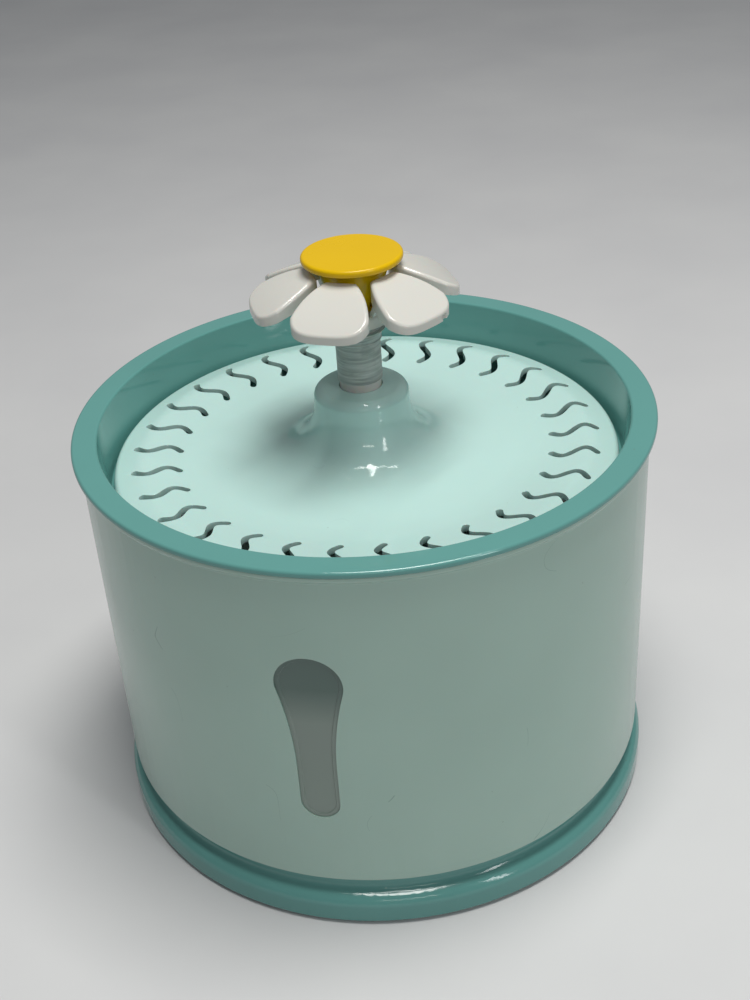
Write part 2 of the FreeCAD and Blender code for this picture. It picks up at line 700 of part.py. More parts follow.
def top_tray():
    wall, collar = size("tray_wall"), size("collar_radius")
    collar_top = tray_floor_top + size("collar_height")
    body = revolved("top_tray", (
        (collar, tray_foot), (basket_foot_inside + wall, tray_foot),
        (basket_inside + wall, tray_ledge - wall), (tray_throat + wall, tray_ledge - wall),
        (tank_inside - slide, rim_under), (rim_radius, rim_under), (rim_radius, rim_top),
        (tray_mouth, rim_top), (tray_throat, tray_ledge), (basket_inside, tray_ledge),
        (basket_foot_inside, tray_floor_top), (collar + wall, tray_floor_top), (collar + wall, collar_top),
        (collar, collar_top)))
    soften(body, "rim_outer_round", [(rim_radius, rim_top)], size("rim_thickness") * 0.55)
    soften(body, "rim_inner_round", [(tray_mouth, rim_top)], size("rim_thickness") * 0.45)
    soften(body, "rim_lip_round", [(rim_radius, rim_under)], size("rim_thickness") * 0.25)
    soften(body, "basket_round", [(basket_foot_inside, tray_floor_top)], wall)
    soften(body, "basket_foot_round", [(basket_foot_inside + wall, tray_foot)], wall)
    hole = circle(new_sketch(body, "drain_outline", "XY_Plane", tray_floor_top), size("drain_circle"), 0,
                  size("drain_radius"))
    drain = pocket(body, "drain_hole", hole, wall * 2)
    around(body, "drain_holes", [drain], size("drain_count"))
    return body


def slot_middle(along):
    """A point of a slot's middle line and its direction: one full wave along the radius."""
    first, length = slot_start.value, size("slot_length").value
    wave, swing = 2 * math.pi / length, size("slot_swing").value
    point = Vector(first + along * length, -swing * math.sin(wave * along * length), 0)
    direction = Vector(1, -swing * wave * math.cos(wave * along * length), 0)
    return point, direction.normalize()


def slot_cutter():
    """A bar with the outline of one slot, with round ends, that stands through the lid."""
    half, stations = size("slot_width").value / 2, 12
    middle = [slot_middle(i / stations) for i in range(stations + 1)]
    edges = []
    for side in (1, -1):
        points = [p + Vector(-d.y, d.x, 0) * half * side for p, d in middle]
        curve = Part.BSplineCurve()
        curve.interpolate(points[::side])
        edges.append(curve.toShape())
    for (p, d), reach in ((middle[-1], half), (middle[0], -half)):
        across = Vector(-d.y, d.x, 0) * reach
        edges.insert(1 if reach > 0 else 3, Part.Arc(p + across, p + d * reach, p - across).toShape())
    tall = lid_foot.value + size("crest_height").value * 2
    return Part.Face(Part.Wire(edges)).extrude(Vector(0, 0, tall))


def slot_cutters():
    """The slots' bars, evenly round the lid."""
    bar, count = slot_cutter(), int(size("slot_count").value)
    bars = []
    for i in range(count):
        copy = bar.copy()
        copy.rotate(Vector(), Vector(0, 0, 1), size("slot_phase").value + 360.0 * i / count)
        bars.append(copy)
    made = document.addObject("Part::Feature", "slot_cutters")
    made.Shape = Part.makeCompound(bars)
    return made


def lid():
    """A plate with a tower, a shallow dish, an outer crest and a skirt that stands on the tray's ledge."""
    wall, foot, tower = size("lid_wall"), size("tower_foot_radius"), size("tower_radius")
    edge, join = lid_foot + size("lid_skirt"), lid_foot + size("lid_rise")
    crest_ring, crest = lid_radius - size("crest_inset"), lid_foot + size("crest_height")
    dish_ring, dish = crest_ring - size("dish_width"), lid_foot + size("dish_height")
    bore = size("riser_radius") + slide
    body = revolved("lid", (
        (bore, tower_top), (tower, tower_top), (foot, join), (dish_ring, dish), (crest_ring, crest),
        (lid_radius, edge), (lid_radius, lid_foot), (lid_radius - wall, lid_foot),
        (lid_radius - wall, edge - wall), (crest_ring, crest - wall), (dish_ring, dish - wall),
        (foot - wall, join - wall), (tower - wall, tower_top - wall), (bore, tower_top - wall)))
    soften(body, "tower_sweep_round", [(foot, join)], size("tower_sweep"))
    soften(body, "tower_sweep_inner", [(foot - wall, join - wall)], size("tower_sweep") + wall)
    soften(body, "tower_shoulder_round", [(tower, tower_top)], size("tower_shoulder"))
    soften(body, "dish_round", [(dish_ring, dish)], size("dish_sweep"))
    soften(body, "crest_round", [(crest_ring, crest)], size("crest_sweep"))
    soften(body, "lid_edge_round", [(lid_radius, edge)], wall)
    pieces.remove(body)
    body.Label = "lid_blank"
    return piece(bored("lid_cut", body, [slot_cutters()]), "lid")


def riser_tube():
    """The tube carries the lid by a stop ring and flares under the flower."""
    radius, bore = size("riser_radius"), size("riser_bore")
    ring_top = tower_top - size("lid_wall") - gap
    ring_low = ring_top - size("tray_wall")
    stop = size("riser_stop_radius")
    return revolved("riser_tube", (
        (bore, riser_foot), (radius, riser_foot), (radius, ring_low), (stop, ring_low), (stop, ring_top),
        (radius, ring_top), (radius, neck_start), (size("neck_radius"), riser_head), (bore, riser_head)))


def thread_tape():
    """White tape wound round the riser and its flared neck."""
    radius, over = size("riser_radius"), size("tape_thickness")
    foot, top = tower_top + size("tape_rise"), riser_head - gap
    return revolved("thread_tape", (
        (radius, foot), (radius + over, foot), (radius + over, neck_start),
        (size("neck_radius") + over, top), (size("neck_radius"), top), (radius, neck_start)))


def petal_top(distance):
    """Height of a petal's upper face at a distance from the axis."""
    start, end = petal_start.value, size("petal_end").value
    share = (distance - start) / (end - start)
    high, low = petal_start_height.value, petal_end_height.value
    return high + (low - high) * share + 4 * size("petal_crown").value * share * (1 - share)


def petal_outline():
    """A petal's plan: a narrow inner end, swelling sides and a broad round tip."""
    start, end = petal_start.value, size("petal_end").value
    shoulder = size("petal_shoulder").value
    inner, half = size("petal_start_width").value / 2, size("petal_width").value / 2
    mid = start + (shoulder - start) * 0.5
    swell = inner + (half - inner) * 0.66
    corner = shoulder + (end - shoulder) * 0.62
    right = [Vector(start, -inner, 0), Vector(mid, -swell, 0), Vector(shoulder, -half, 0)]
    tip = [Vector(shoulder, -half, 0), Vector(corner, -half * 0.86, 0), Vector(end, 0, 0),
           Vector(corner, half * 0.86, 0), Vector(shoulder, half, 0)]
    left = [Vector(p.x, -p.y, 0) for p in reversed(right)]
    edges = []
    for points in (right, tip, left):
        curve = Part.BSplineCurve()
        curve.interpolate(points)
        edges.append(curve.toShape())
    edges.append(Part.makeLine(left[-1], right[0]))
    return Part.Wire(edges)


def petal_section(distance, depth):
    """A drooping slab's edge line at a distance, as a point above or below the face."""
    return Vector(distance, 0, petal_top(distance) - depth)


def petal_slab():
    """The side view of a petal, swept across its whole width."""
    start, end = petal_start.value, size("petal_end").value
    middle = (start + end) / 2
    root, tip = size("petal_root_depth").value, size("petal_tip_depth").value
    mean = (root + tip) / 2
    upper = Part.Arc(petal_section(start, 0), petal_section(middle, 0), petal_section(end, 0)).toShape()
    lower = Part.Arc(petal_section(end, tip), petal_section(middle, mean), petal_section(start, root)).toShape()
    outer = Part.makeLine(petal_section(end, 0), petal_section(end, tip))
    inner = Part.makeLine(petal_section(start, root), petal_section(start, 0))
    side = Part.Face(Part.Wire([upper, outer, lower, inner]))
    width = size("petal_width").value
    side.translate(Vector(0, -width, 0))
    return side.extrude(Vector(0, 2 * width, 0))


def petal_solid():
    """One petal along +X with its upper edge rounded."""
    tall = petal_start_height.value + size("petal_root_depth").value
    column = Part.Face(petal_outline()).extrude(Vector(0, 0, tall))
    petal = petal_slab().common(column).Solids[0]
    ends = []
    for edge in petal.Edges:
        points = edge.discretize(7)
        if all(abs(p.z - petal_top(p.x)) < 0.15 for p in points):
            ends.append(edge)
    return petal.makeFillet(size("petal_edge").value, ends)


def petal_crown():
    """Six petals on arms round a hub with a spigot that plugs into the riser."""
    hub = size("hub_radius").value
    foot, top = hub_foot.value, hub_top.value
    rounding = size("spigot_wall").value / 2
    spigot = size("riser_bore").value - slide.value
    bore = spigot - size("spigot_wall").value
    low = foot - size("spigot_length").value
    profile = [
        Vector(bore, 0, low), Vector(spigot, 0, low), Vector(spigot, 0, foot), Vector(hub, 0, foot),
        Vector(hub, 0, top - rounding), Vector(hub - rounding, 0, top), Vector(bore, 0, top)]
    wire = Part.makePolygon(profile + [profile[0]])
    crown = Part.Face(wire).revolve(Vector(), Vector(0, 0, 1), 360)
    petal = petal_solid()
    start = petal_start.value
    half = size("root_width").value / 2
    arm_inner = hub - size("spigot_wall").value * 2
    arm_outer = start + 1.5
    root = petal_top(arm_outer) - size("petal_root_depth").value
    arm_profile = [
        Vector(arm_inner, -half, foot + 0.4), Vector(arm_outer, -half, root + 0.3),
        Vector(arm_outer, -half, root + 3.2), Vector(arm_inner, -half, top - 0.6)]
    arm = Part.Face(Part.makePolygon(arm_profile + [arm_profile[0]])).extrude(Vector(0, 2 * half, 0))
    count = int(size("petal_count").value)
    for i in range(count):
        angle = size("petal_phase").value + 360.0 * i / count
        for solid in (petal, arm):
            copy = solid.copy()
            copy.rotate(Vector(), Vector(0, 0, 1), angle)
            crown = crown.fuse(copy)
    made = document.addObject("Part::Feature", "petal_crown")
    made.Shape = crown.removeSplitter()
    made.Placement = Placement()
    return piece(made, "petal_crown")


def flower_cap():
    """The yellow disc, its hollow curved core and the stem that plugs into the flower's hub."""
    radius, top, core = size("cap_radius"), cap_top, size("core_radius")
    under = top - size("cap_depth")
    foot = hub_top + gap
    stem_foot = foot - size("stem_length")
    stem, bore, core_foot = size("stem_radius"), size("stem_bore"), size("core_foot_radius")
    roof = under - size("cap_depth")
    body = revolved("flower_cap", (
        (0, roof), (0, top), (radius, top), (radius, under), (core, under), (core_foot, foot + gap * 8),
        (core_foot, foot), (stem, foot), (stem, stem_foot), (bore, stem_foot), (bore, roof)))
    soften(body, "cap_edge_round", [(radius, top), (radius, under)], size("cap_depth") * 0.42)
    sketch = new_sketch(body, "port_outline", "XZ_Plane")
    circle(sketch, 0, foot + gap * 20, size("port_radius"))
    port = pocket(body, "water_port", sketch, radius, outward=True)
    around(body, "water_ports", [port], size("petal_count"))
    return body


def filter_cartridge():
    """A ring-shaped cup with drain slits, the carbon in it and a felt on top."""
    wall, foot = size("cartridge_wall"), cartridge_foot
    outside, hole = cartridge_radius, size("cartridge_hole")
    felt_foot = cartridge_top - size("felt_thickness")
    body = revolved("filter_frame", (
        (hole, foot), (outside, foot), (outside, cartridge_top), (outside - wall, cartridge_top),
        (outside - wall, foot + wall), (hole + wall, foot + wall), (hole + wall, cartridge_top),
        (hole, cartridge_top)))
    sketch = new_sketch(body, "slit_outline", "XY_Plane", foot + wall)
    capsule(sketch, (hole + wall * 4, 0), (outside - wall * 4, 0), wall)
    slit = pocket(body, "slit", sketch, wall * 2)
    around(body, "slits", [slit], size("drain_count"))
    inside, inner = outside - wall - gap, hole + wall + gap
    carbon_foot = foot + wall + gap
    revolved("carbon_media", (
        (inner, carbon_foot), (inside, carbon_foot), (inside, carbon_foot + size("carbon_depth")),
        (inner, carbon_foot + size("carbon_depth"))))
    felt = revolved("filter_felt", (
        (inner, felt_foot), (inside, felt_foot), (inside, felt_foot + size("felt_thickness")),
        (inner, felt_foot + size("felt_thickness"))))
    soften(felt, "felt_round", [(inside, felt_foot + size("felt_thickness"))], size("felt_thickness") / 3)


def pump_place(thing, forward=0.0):
    """Puts a piece that was turned about Z on the rotor axis, with its Z axis towards the front."""
    return place(thing, -size("pump_shift"), -sized(forward), size("pump_axis"), ((1, 0, 0), 90))


def pump_housing():
    shift, axis = size("pump_shift"), size("pump_axis")
    half, wall = size("pump_width") / 2, size("pump_wall")
    front, back = pump_front, pump_front + size("pump_depth")
    foot, head = size("pump_foot"), size("pump_head")
    outer = block("pump_block", (-shift - half, front, foot), (half - shift, back, head))
    hollow = block("pump_hollow", (-shift - half + wall, front + wall, foot + size("pump_sole")),
                   (half - shift - wall, back - wall, head - wall))
    well = rod("well_tube", size("well_radius") + size("well_wall"), size("well_depth") + size("well_wall"),
               -shift, front, axis, "y")
    bore = rod("well_bore", size("well_radius"), size("well_depth"), -shift, front - gap, axis, "y")
    seat = rod("rear_bush_seat", size("bush_radius"), size("bush_length"), -shift,
               front + size("well_depth") - size("bush_length"), axis, "y")
    lead = rod("lead_hole", size("lead_radius"), wall * 3, 0, back - wall * 2, size("lead_exit"), "y")
    shell = bored("pump_shell", outer, [hollow])
    sockets = []
    for i, (x, y) in enumerate(cup_places()):
        sockets.append(rod(f"cup_socket_{i}", size("cup_neck"), size("cup_plug"), x, y, foot))
    whole = fused("pump_whole", [shell, well])
    return piece(bored("pump_housing_cut", whole, [bore, seat, lead] + sockets), "pump_housing")


def cup_places():
    shift, inset = size("pump_shift"), size("cup_inset")
    half = size("pump_width") / 2 - inset
    front, back = pump_front + inset, pump_front + size("pump_depth") - inset
    return [(-shift - half, front), (half - shift, front), (half - shift, back), (-shift - half, back)]


def suction_cups():
    cups = []
    foot, plug = size("pump_foot"), size("cup_plug")
    for i, (x, y) in enumerate(cup_places()):
        skirt = document.addObject("Part::Cone", f"cup_skirt_{i}")
        bind(skirt, "Radius1", size("cup_radius"))
        bind(skirt, "Radius2", size("cup_neck"))
        bind(skirt, "Height", foot - floor_top)
        place(skirt, x, y, floor_top)
        hollow = document.addObject("Part::Cone", f"cup_hollow_{i}")
        bind(hollow, "Radius1", size("cup_radius") - size("pump_wall") / 2)
        bind(hollow, "Radius2", size("cup_neck") / 2)
        bind(hollow, "Height", (foot - floor_top) / 2)
        place(hollow, x, y, floor_top)
        neck = rod(f"cup_stem_{i}", size("cup_neck"), plug, x, y, foot)
        cups.append(bored(f"cup_{i}", fused(f"cup_whole_{i}", [skirt, neck]), [hollow]))
    return group("suction_cups", cups)


def pump_cover():
    """The volute with its inlet holes and the outlet nozzle on the fountain's axis."""
    shift, axis = size("pump_shift"), size("pump_axis")
    drum = rod("volute_drum", volute_outside, half_volute + cover_front, -shift, -cover_front, axis, "y")
    nozzle = rod("nozzle_tube", nozzle_radius, size("nozzle_top") - axis, 0, 0, axis)
    chamber = rod("volute_chamber", size("volute_radius"), size("volute_depth") + gap, -shift,
                  -half_volute, axis, "y")
    bore = rod("nozzle_bore_cut", size("nozzle_bore"), size("nozzle_top"), 0, 0, axis)
    boss = rod("front_bush_boss", size("bush_radius") + size("well_wall"), size("bush_length"), -shift,
               -half_volute, axis, "y")
    seat = rod("front_bush_seat", size("bush_radius"), size("bush_length"), -shift, -half_volute, axis, "y")
    inlets = []
    count = int(size("inlet_count").value)
    for i in range(count):
        angle = 2 * math.pi * i / count
        inlets.append(rod(f"inlet_{i}", size("inlet_radius"), size("volute_wall") * 2,
                          size("inlet_circle") * math.cos(angle) - shift, -cover_front,
                          size("inlet_circle") * math.sin(angle) + axis, "y"))
    shell = bored("volute_shell", fused("volute_whole", [drum, nozzle]), [chamber, bore])
    whole = fused("volute_and_boss", [shell, boss])
    return piece(bored("pump_cover_cut", whole, [seat] + inlets), "pump_cover")


def rotor():
    """The impeller and magnet turn together on the fixed shaft."""
    hub, hole = size("impeller_hub"), size("shaft_radius") + size("running_gap")
    disc = size("impeller_disc")
    body = revolved("impeller", (
        (hole, 0), (size("impeller_radius"), 0), (size("impeller_radius"), disc), (hub, disc),
        (hub, disc + size("blade_height") / 2), (hole, disc + size("blade_height") / 2)))
    sketch = new_sketch(body, "blade_outline", "XY_Plane", disc)
    half = size("blade_thickness") / 2
    polygon(sketch, ((hub - half, -half), (size("impeller_radius"), -half),
                     (size("impeller_radius"), half), (hub - half, half)))
    blade = pad(body, "blade", sketch, size("blade_height"))
    around(body, "blades", [blade], size("blade_count"))
    pump_place(body, -(half_volute - disc))
    magnet = revolved("rotor_magnet", (
        (hole, 0), (size("magnet_radius"), 0), (size("magnet_radius"), size("magnet_length")),
        (hole, size("magnet_length"))))
    pump_place(magnet, -(half_volute - disc + size("magnet_length")))


def shaft_and_bushes():
    bush, length, radius = size("bush_radius"), size("bush_length"), size("shaft_radius")
    shift, axis = size("pump_shift"), size("pump_axis")
    rear = pump_front + size("well_depth")
    shaft = rod("shaft_rod", radius, rear + half_volute, -shift, -half_volute, axis, "y")
    piece(shaft, "rotor_shaft")
    bushes = []
    for name, start in (("front", -half_volute), ("rear", rear - length)):
        solid = rod(f"{name}_bush_body", bush, length, -shift, start, axis, "y")
        hole = rod(f"{name}_bush_hole", radius, length, -shift, start, axis, "y")
        bushes.append(bored(f"{name}_bush", solid, [hole]))
    group("shaft_bushes", bushes)


def stator():
    """A stack of sheets round the rotor well, with the coil on its lower leg."""
    shift, axis, leg = size("pump_shift"), size("pump_axis"), size("core_leg")
    half = size("core_width") / 2
    middle = pump_front + size("pump_wall") + gap + size("pump_depth") / 2 - size("pump_wall")
    front, back = middle - size("core_stack") / 2, middle + size("core_stack") / 2
    low = size("pump_foot") + size("pump_sole") + size("coil_build") + gap
    high = axis + size("well_radius") + size("well_wall") + leg / 2
    hole_radius = size("well_radius") + size("well_wall") + gap
    outer = block("core_block", (-shift - half, front, low), (half - shift, back, high))
    pole = rod("core_hole", hole_radius, size("core_stack"), -shift, front, axis, "y")
    bar = low + leg / 2
    window = block("core_window", (-shift - half + leg, front, bar), (half - shift - leg, back, axis))
    piece(bored("stator_core_cut", outer, [pole, window]), "stator_core")
    build = size("coil_build")
    winding = block("coil_block", (-shift - half + leg + gap, front - build, low - build),
                    (half - shift - leg - gap, back + build, bar + build * 0.6))
    passage = block("coil_passage", (-shift - half, front, low), (half - shift, back, bar))
    piece(bored("stator_coil_cut", winding, [passage]), "stator_coil")


def flow_dial():
    """A shutter with the same holes as the inlet, turned by its grip."""
    radius, thick = size("dial_radius"), size("dial_thickness")
    body = revolved("flow_dial", ((0, 0), (radius, 0), (radius, thick), (0, thick)))
    grip = new_sketch(body, "grip_outline", "XY_Plane", 0.0)
    half = size("dial_grip") / 2
    polygon(grip, ((radius - half, -half), (radius + size("dial_grip"), -half),
                   (radius + size("dial_grip"), half), (radius - half, half)))
    pad(body, "grip", grip, thick)
    hole = circle(new_sketch(body, "dial_hole_outline", "XY_Plane", thick), size("inlet_circle"), 0,
                  size("inlet_radius"))
    cut = pocket(body, "dial_hole", hole, thick)
    around(body, "dial_holes", [cut], size("inlet_count"))
    return pump_place(body, cover_front + slide)


def prefilter_foam():
    """A foam sleeve, closed in front, that slips over the pump's cover."""
    shift, axis, wall = size("pump_shift"), size("pump_axis"), size("foam_wall")
    half = size("foam_width") / 2
    back = -(half_volute - size("foam_wall"))
    front = back - size("foam_length")
    inside = volute_outside + slide
    outer = block("foam_block", (-shift - half, front, axis - half + wall), (half - shift, back, axis + half))
    hollow = rod("foam_hollow", inside, size("foam_length") - wall, -shift, front + wall, axis, "y")
    way = coupler_radius + slide * 2
    notch = rod("foam_notch_round", way, size("foam_width"), 0, 0, axis)
    open_back = block("foam_notch_back", (-way, 0, axis), (way, size("foam_width"), axis + size("foam_width")))
    return piece(bored("prefilter_foam_cut", outer, [hollow, notch, open_back]), "prefilter_foam")


def outlet_coupler():
    """A soft sleeve that joins the pump's nozzle to the riser."""
    top = size("nozzle_top") + gap
    low = top - size("coupler_grip")
    wide = size("riser_radius") + slide
    return revolved("outlet_coupler", (
        (nozzle_radius, low), (coupler_radius, low), (coupler_radius, low + size("coupler_length")),
        (wide, low + size("coupler_length")), (wide, top), (nozzle_radius, top)))


def power_parts():
    """The socket in the base, its contact, and the lead that runs to it from the pump."""
    height, face = size("socket_height"), base_radius - size("socket_recess")
    start = face - size("socket_length")
    body = rod("socket_body", size("socket_radius"), size("socket_length"), 0, start, height, "y")
    mouth = rod("socket_mouth", size("socket_bore"), size("socket_depth"), 0, face - size("socket_depth"),
                height, "y")
    pin_hole = rod("contact_hole", size("contact_radius"), size("socket_length"), 0, start, height, "y")
    piece(bored("power_socket_cut", body, [mouth, pin_hole]), "power_socket")
    pin_length = size("socket_length") - size("socket_bore")
    piece(rod("contact_rod", size("contact_radius"), pin_length, 0, start, height, "y"), "socket_contact")
    gland_wide = size("gland_radius") + size("gland_flange")
    lead = size("lead_radius")
    low, high = size("tank_floor"), floor_top
    flange = size("gland_flange")
    gland = revolved("lead_gland", (
        (lead, low - flange), (gland_wide, low - flange), (gland_wide, low), (size("gland_radius"), low),
        (size("gland_radius"), high), (gland_wide, high), (gland_wide, high + flange),
        (lead, high + flange)))
    place(gland, 0, size("gland_place"), 0)
    pump_lead(start)


def pump_lead(socket_start):
    """The lead, clipped all its way: out of the pump, down through the gland and back to the socket."""
    begin = pump_front.value + size("pump_depth").value - size("pump_wall").value
    bend, across = size("lead_bend").value, size("gland_place").value
    high, low, end = size("lead_exit").value, size("socket_height").value, socket_start.value
    turn = bend * (1 - math.sqrt(0.5))
    path = Part.Wire([
        Part.makeLine(Vector(0, begin, high), Vector(0, across - bend, high)),
        Part.Arc(Vector(0, across - bend, high), Vector(0, across - turn, high - turn),
                 Vector(0, across, high - bend)).toShape(),
        Part.makeLine(Vector(0, across, high - bend), Vector(0, across, low + bend)),
        Part.Arc(Vector(0, across, low + bend), Vector(0, across + turn, low + turn),
                 Vector(0, across + bend, low)).toShape(),
        Part.makeLine(Vector(0, across + bend, low), Vector(0, end, low)),
    ])
    radius = size("lead_radius").value
    section = Part.Wire([Part.makeCircle(radius, Vector(0, begin, high), Vector(0, 1, 0))])
    tube = path.makePipeShell([section], True, False)
    expected = math.pi * radius ** 2 * path.Length
    if abs(tube.Volume - expected) > expected * 0.01:
        raise RuntimeError("the lead's tube has the wrong volume")
    made = document.addObject("Part::Feature", "pump_lead")
    made.Shape = tube
    made.Placement = Placement()
    return piece(made, "pump_lead")


def build():
    tank_and_window()
    base_skirt()
    base_fixings()
    top_tray()
    lid()
    riser_tube()
    thread_tape()
    petal_crown()
    flower_cap()
    filter_cartridge()
    pump_housing()
    suction_cups()
    pump_cover()
    rotor()
    shaft_and_bushes()
    stator()
    flow_dial()
    prefilter_foam()
    outlet_coupler()
    power_parts()
    document.recompute()


def check():
    """Stops if any object failed or any piece has no good shape."""
    for thing in document.Objects:
        if "Invalid" in thing.State or "Error" in thing.State:
            raise RuntimeError(f"{thing.Name} failed: {thing.State}")
    for thing in pieces:
        shape = thing.Shape
        if shape.isNull() or not shape.isValid() or not shape.Solids:
            raise RuntimeError(f"{thing.Label} has no good shape")


def export():
    os.makedirs("parts", exist_ok=True)
    for thing in pieces:
        thing.Shape.exportStep(os.path.join("parts", thing.Label + ".step"))
        print(thing.Label, len(thing.Shape.Solids), round(thing.Shape.Volume, 1))


build()
check()
export()
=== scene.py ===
# %% [markdown]
# This is a pet water fountain: a mint tank on a teal base, a teal drinking tray, a slotted lid with a
# flower outlet, and a small pump and filter inside. The imported parts come first, because every piece
# made here has to fit them.

# %% Load the imported parts
import math

import bmesh
import bpy
from mathutils import Matrix, Vector


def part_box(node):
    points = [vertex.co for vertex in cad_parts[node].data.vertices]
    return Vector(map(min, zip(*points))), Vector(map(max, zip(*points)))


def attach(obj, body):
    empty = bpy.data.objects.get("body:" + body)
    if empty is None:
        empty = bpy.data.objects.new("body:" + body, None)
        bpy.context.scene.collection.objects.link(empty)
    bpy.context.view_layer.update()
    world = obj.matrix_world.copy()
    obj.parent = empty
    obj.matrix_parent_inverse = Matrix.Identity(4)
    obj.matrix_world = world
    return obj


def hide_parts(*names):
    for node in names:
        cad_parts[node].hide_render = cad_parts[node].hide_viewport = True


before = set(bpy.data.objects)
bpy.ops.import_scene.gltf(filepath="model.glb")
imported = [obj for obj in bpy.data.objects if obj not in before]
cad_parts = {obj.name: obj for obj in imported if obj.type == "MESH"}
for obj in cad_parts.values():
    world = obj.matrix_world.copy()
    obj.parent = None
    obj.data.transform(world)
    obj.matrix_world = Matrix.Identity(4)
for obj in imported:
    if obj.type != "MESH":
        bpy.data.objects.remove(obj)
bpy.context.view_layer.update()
MM = 0.001

# %% [markdown]
# The photograph was taken by hand from above the front, with the camera a little turned. A camera is
# a place, a direction and a lens, so its rows are built from an azimuth, a height angle and a roll.
# The last turn aims it so that the fountain's foot lands at the right pixel.

# %% Camera
IMAGE_WIDTH = 750
IMAGE_HEIGHT = 1000
SENSOR = 36.0
FOCAL_PIXELS = 1350.0
DISTANCE = 495.52 * MM
AZIMUTH = math.radians(13.45)
HEIGHT_ANGLE = math.radians(41.443)
ROLL = math.radians(4.175)
FOOT_PIXEL = (385.87, 727.09)


def photo_camera():
    """Returns the camera's matrix for the photograph's viewpoint."""
    level = Vector((math.sin(AZIMUTH), -math.cos(AZIMUTH), 0.0))
    back = level * math.cos(HEIGHT_ANGLE) + Vector((0.0, 0.0, math.sin(HEIGHT_ANGLE)))
    right = Vector((math.cos(AZIMUTH), math.sin(AZIMUTH), 0.0))
    rows = Matrix((right, back.cross(right), back))
    roll = Matrix.Rotation(ROLL, 3, "Z")
    foot = Vector((FOOT_PIXEL[0] - IMAGE_WIDTH / 2, IMAGE_HEIGHT / 2 - FOOT_PIXEL[1], -FOCAL_PIXELS))
    aim = Vector((0.0, 0.0, -1.0)).rotation_difference(foot).to_matrix()
    place = (aim @ roll @ rows).transposed().to_4x4()
    place.translation = back * DISTANCE
    return place


camera_data = bpy.data.cameras.new("photo_camera")
camera_data.sensor_width = SENSOR
camera_data.lens = FOCAL_PIXELS * SENSOR / IMAGE_HEIGHT
camera_data.clip_start = 0.01
camera = bpy.data.objects.new("photo_camera", camera_data)
camera.matrix_world = photo_camera()
bpy.context.scene.collection.objects.link(camera)
bpy.context.scene.camera = camera
bpy.context.scene.view_settings.view_transform = "Standard"
print("camera at", [round(c, 4) for c in camera.matrix_world.translation], "lens", round(camera_data.lens, 1))

# %% [markdown]
# Every visible edge of a moulded piece is a little round, because a tool can't make a sharp one and a
# hand would cut itself on it. A round edge catches a thin line of light, and that line is most of what
# makes a render look like a thing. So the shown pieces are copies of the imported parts, whose loose
# triangles are joined first, then bevelled and smoothed. Modelling them anew would only risk that they
# no longer fit each other.

# %% Helpers for pieces


def only(thing):
    """Leaves one object selected and active."""
    bpy.ops.object.select_all(action="DESELECT")
    thing.select_set(True)
    bpy.context.view_layer.objects.active = thing


def joined_copy(part, name):
    """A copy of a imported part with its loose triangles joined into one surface."""
    piece = bpy.data.objects.new(name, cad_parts[part].data.copy())
    bpy.context.scene.collection.objects.link(piece)
    piece.data.materials.clear()
    only(piece)
    bpy.ops.object.mode_set(mode="EDIT")
    bpy.ops.mesh.select_all(action="SELECT")
    bpy.ops.mesh.remove_doubles(threshold=0.002 * MM)
    bpy.ops.object.mode_set(mode="OBJECT")
    return piece


def apply(piece, name, kind, **settings):
    """Adds one modifier with its settings and applies it."""
    only(piece)
    modifier = piece.modifiers.new(name, kind)
    for key, value in settings.items():
        setattr(modifier, key, value)
    bpy.ops.object.modifier_apply(modifier=name)


def soften(piece, width, segments, angle):
    """Bevels every edge that is sharper than an angle in degrees, by a width in millimetres."""
    apply(piece, "soft_edges", "BEVEL", width=width * MM, segments=segments, limit_method="ANGLE",
          angle_limit=math.radians(angle))


def finish(piece, part, body, material, angle=40.0):
    """Gives a piece its smooth shading, its finish and its body, and hides the part that it stands for.

    The last modifier lets large faces decide the shading, so that narrow ones beside them stay calm.
    """
    only(piece)
    bpy.ops.object.shade_smooth_by_angle(angle=math.radians(angle))
    apply(piece, "even_light", "WEIGHTED_NORMAL", keep_sharp=True, weight=60)
    piece.data.materials.append(material)
    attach(piece, body)
    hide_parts(part)
    print(piece.name, "faces", len(piece.data.polygons))


# %% [markdown]
# Materials are trees of small nodes. One function turns the sRGB colours of a paint card into the
# linear numbers that a renderer adds and multiplies, and one function adds any node with its settings
# and links. All patterns read Object coordinates, which stay with the piece in every view, and their
# scale is worked out from a size in millimetres.

# %% Helpers for materials


def linear(code):
    """Turns an sRGB hex colour into linear values."""
    parts = [int(code[i:i + 2], 16) / 255 for i in (0, 2, 4)]
    return tuple(c / 12.92 if c <= 0.04045 else ((c + 0.055) / 1.055) ** 2.4 for c in parts) + (1.0,)


def node(tree, kind, inputs=None, **settings):
    """Adds one node, sets its settings, and fills its inputs with values or with links."""
    made = tree.nodes.new("ShaderNode" + kind)
    for name, value in settings.items():
        setattr(made, name, value)
    for socket, value in (inputs or {}).items():
        if isinstance(value, bpy.types.NodeSocket):
            tree.links.new(value, made.inputs[socket])
        else:
            made.inputs[socket].default_value = value
    return made


def new_material(name):
    """An empty material: its tree, its object coordinates and its output."""
    material = bpy.data.materials.new(name)
    material.use_nodes = True
    tree = material.node_tree
    tree.nodes.clear()
    return material, tree, node(tree, "TexCoord").outputs["Object"], node(tree, "OutputMaterial")


def per_metre(millimetres):
    """A texture's scale for features of a size in millimetres."""
    return 1.0 / (millimetres * MM)


def spread(tree, value, low, high, new_low, new_high):
    """Stretches a pattern's range onto another range."""
    return node(tree, "MapRange", {"Value": value, "From Min": low, "From Max": high, "To Min": new_low,
                                   "To Max": new_high}).outputs["Result"]


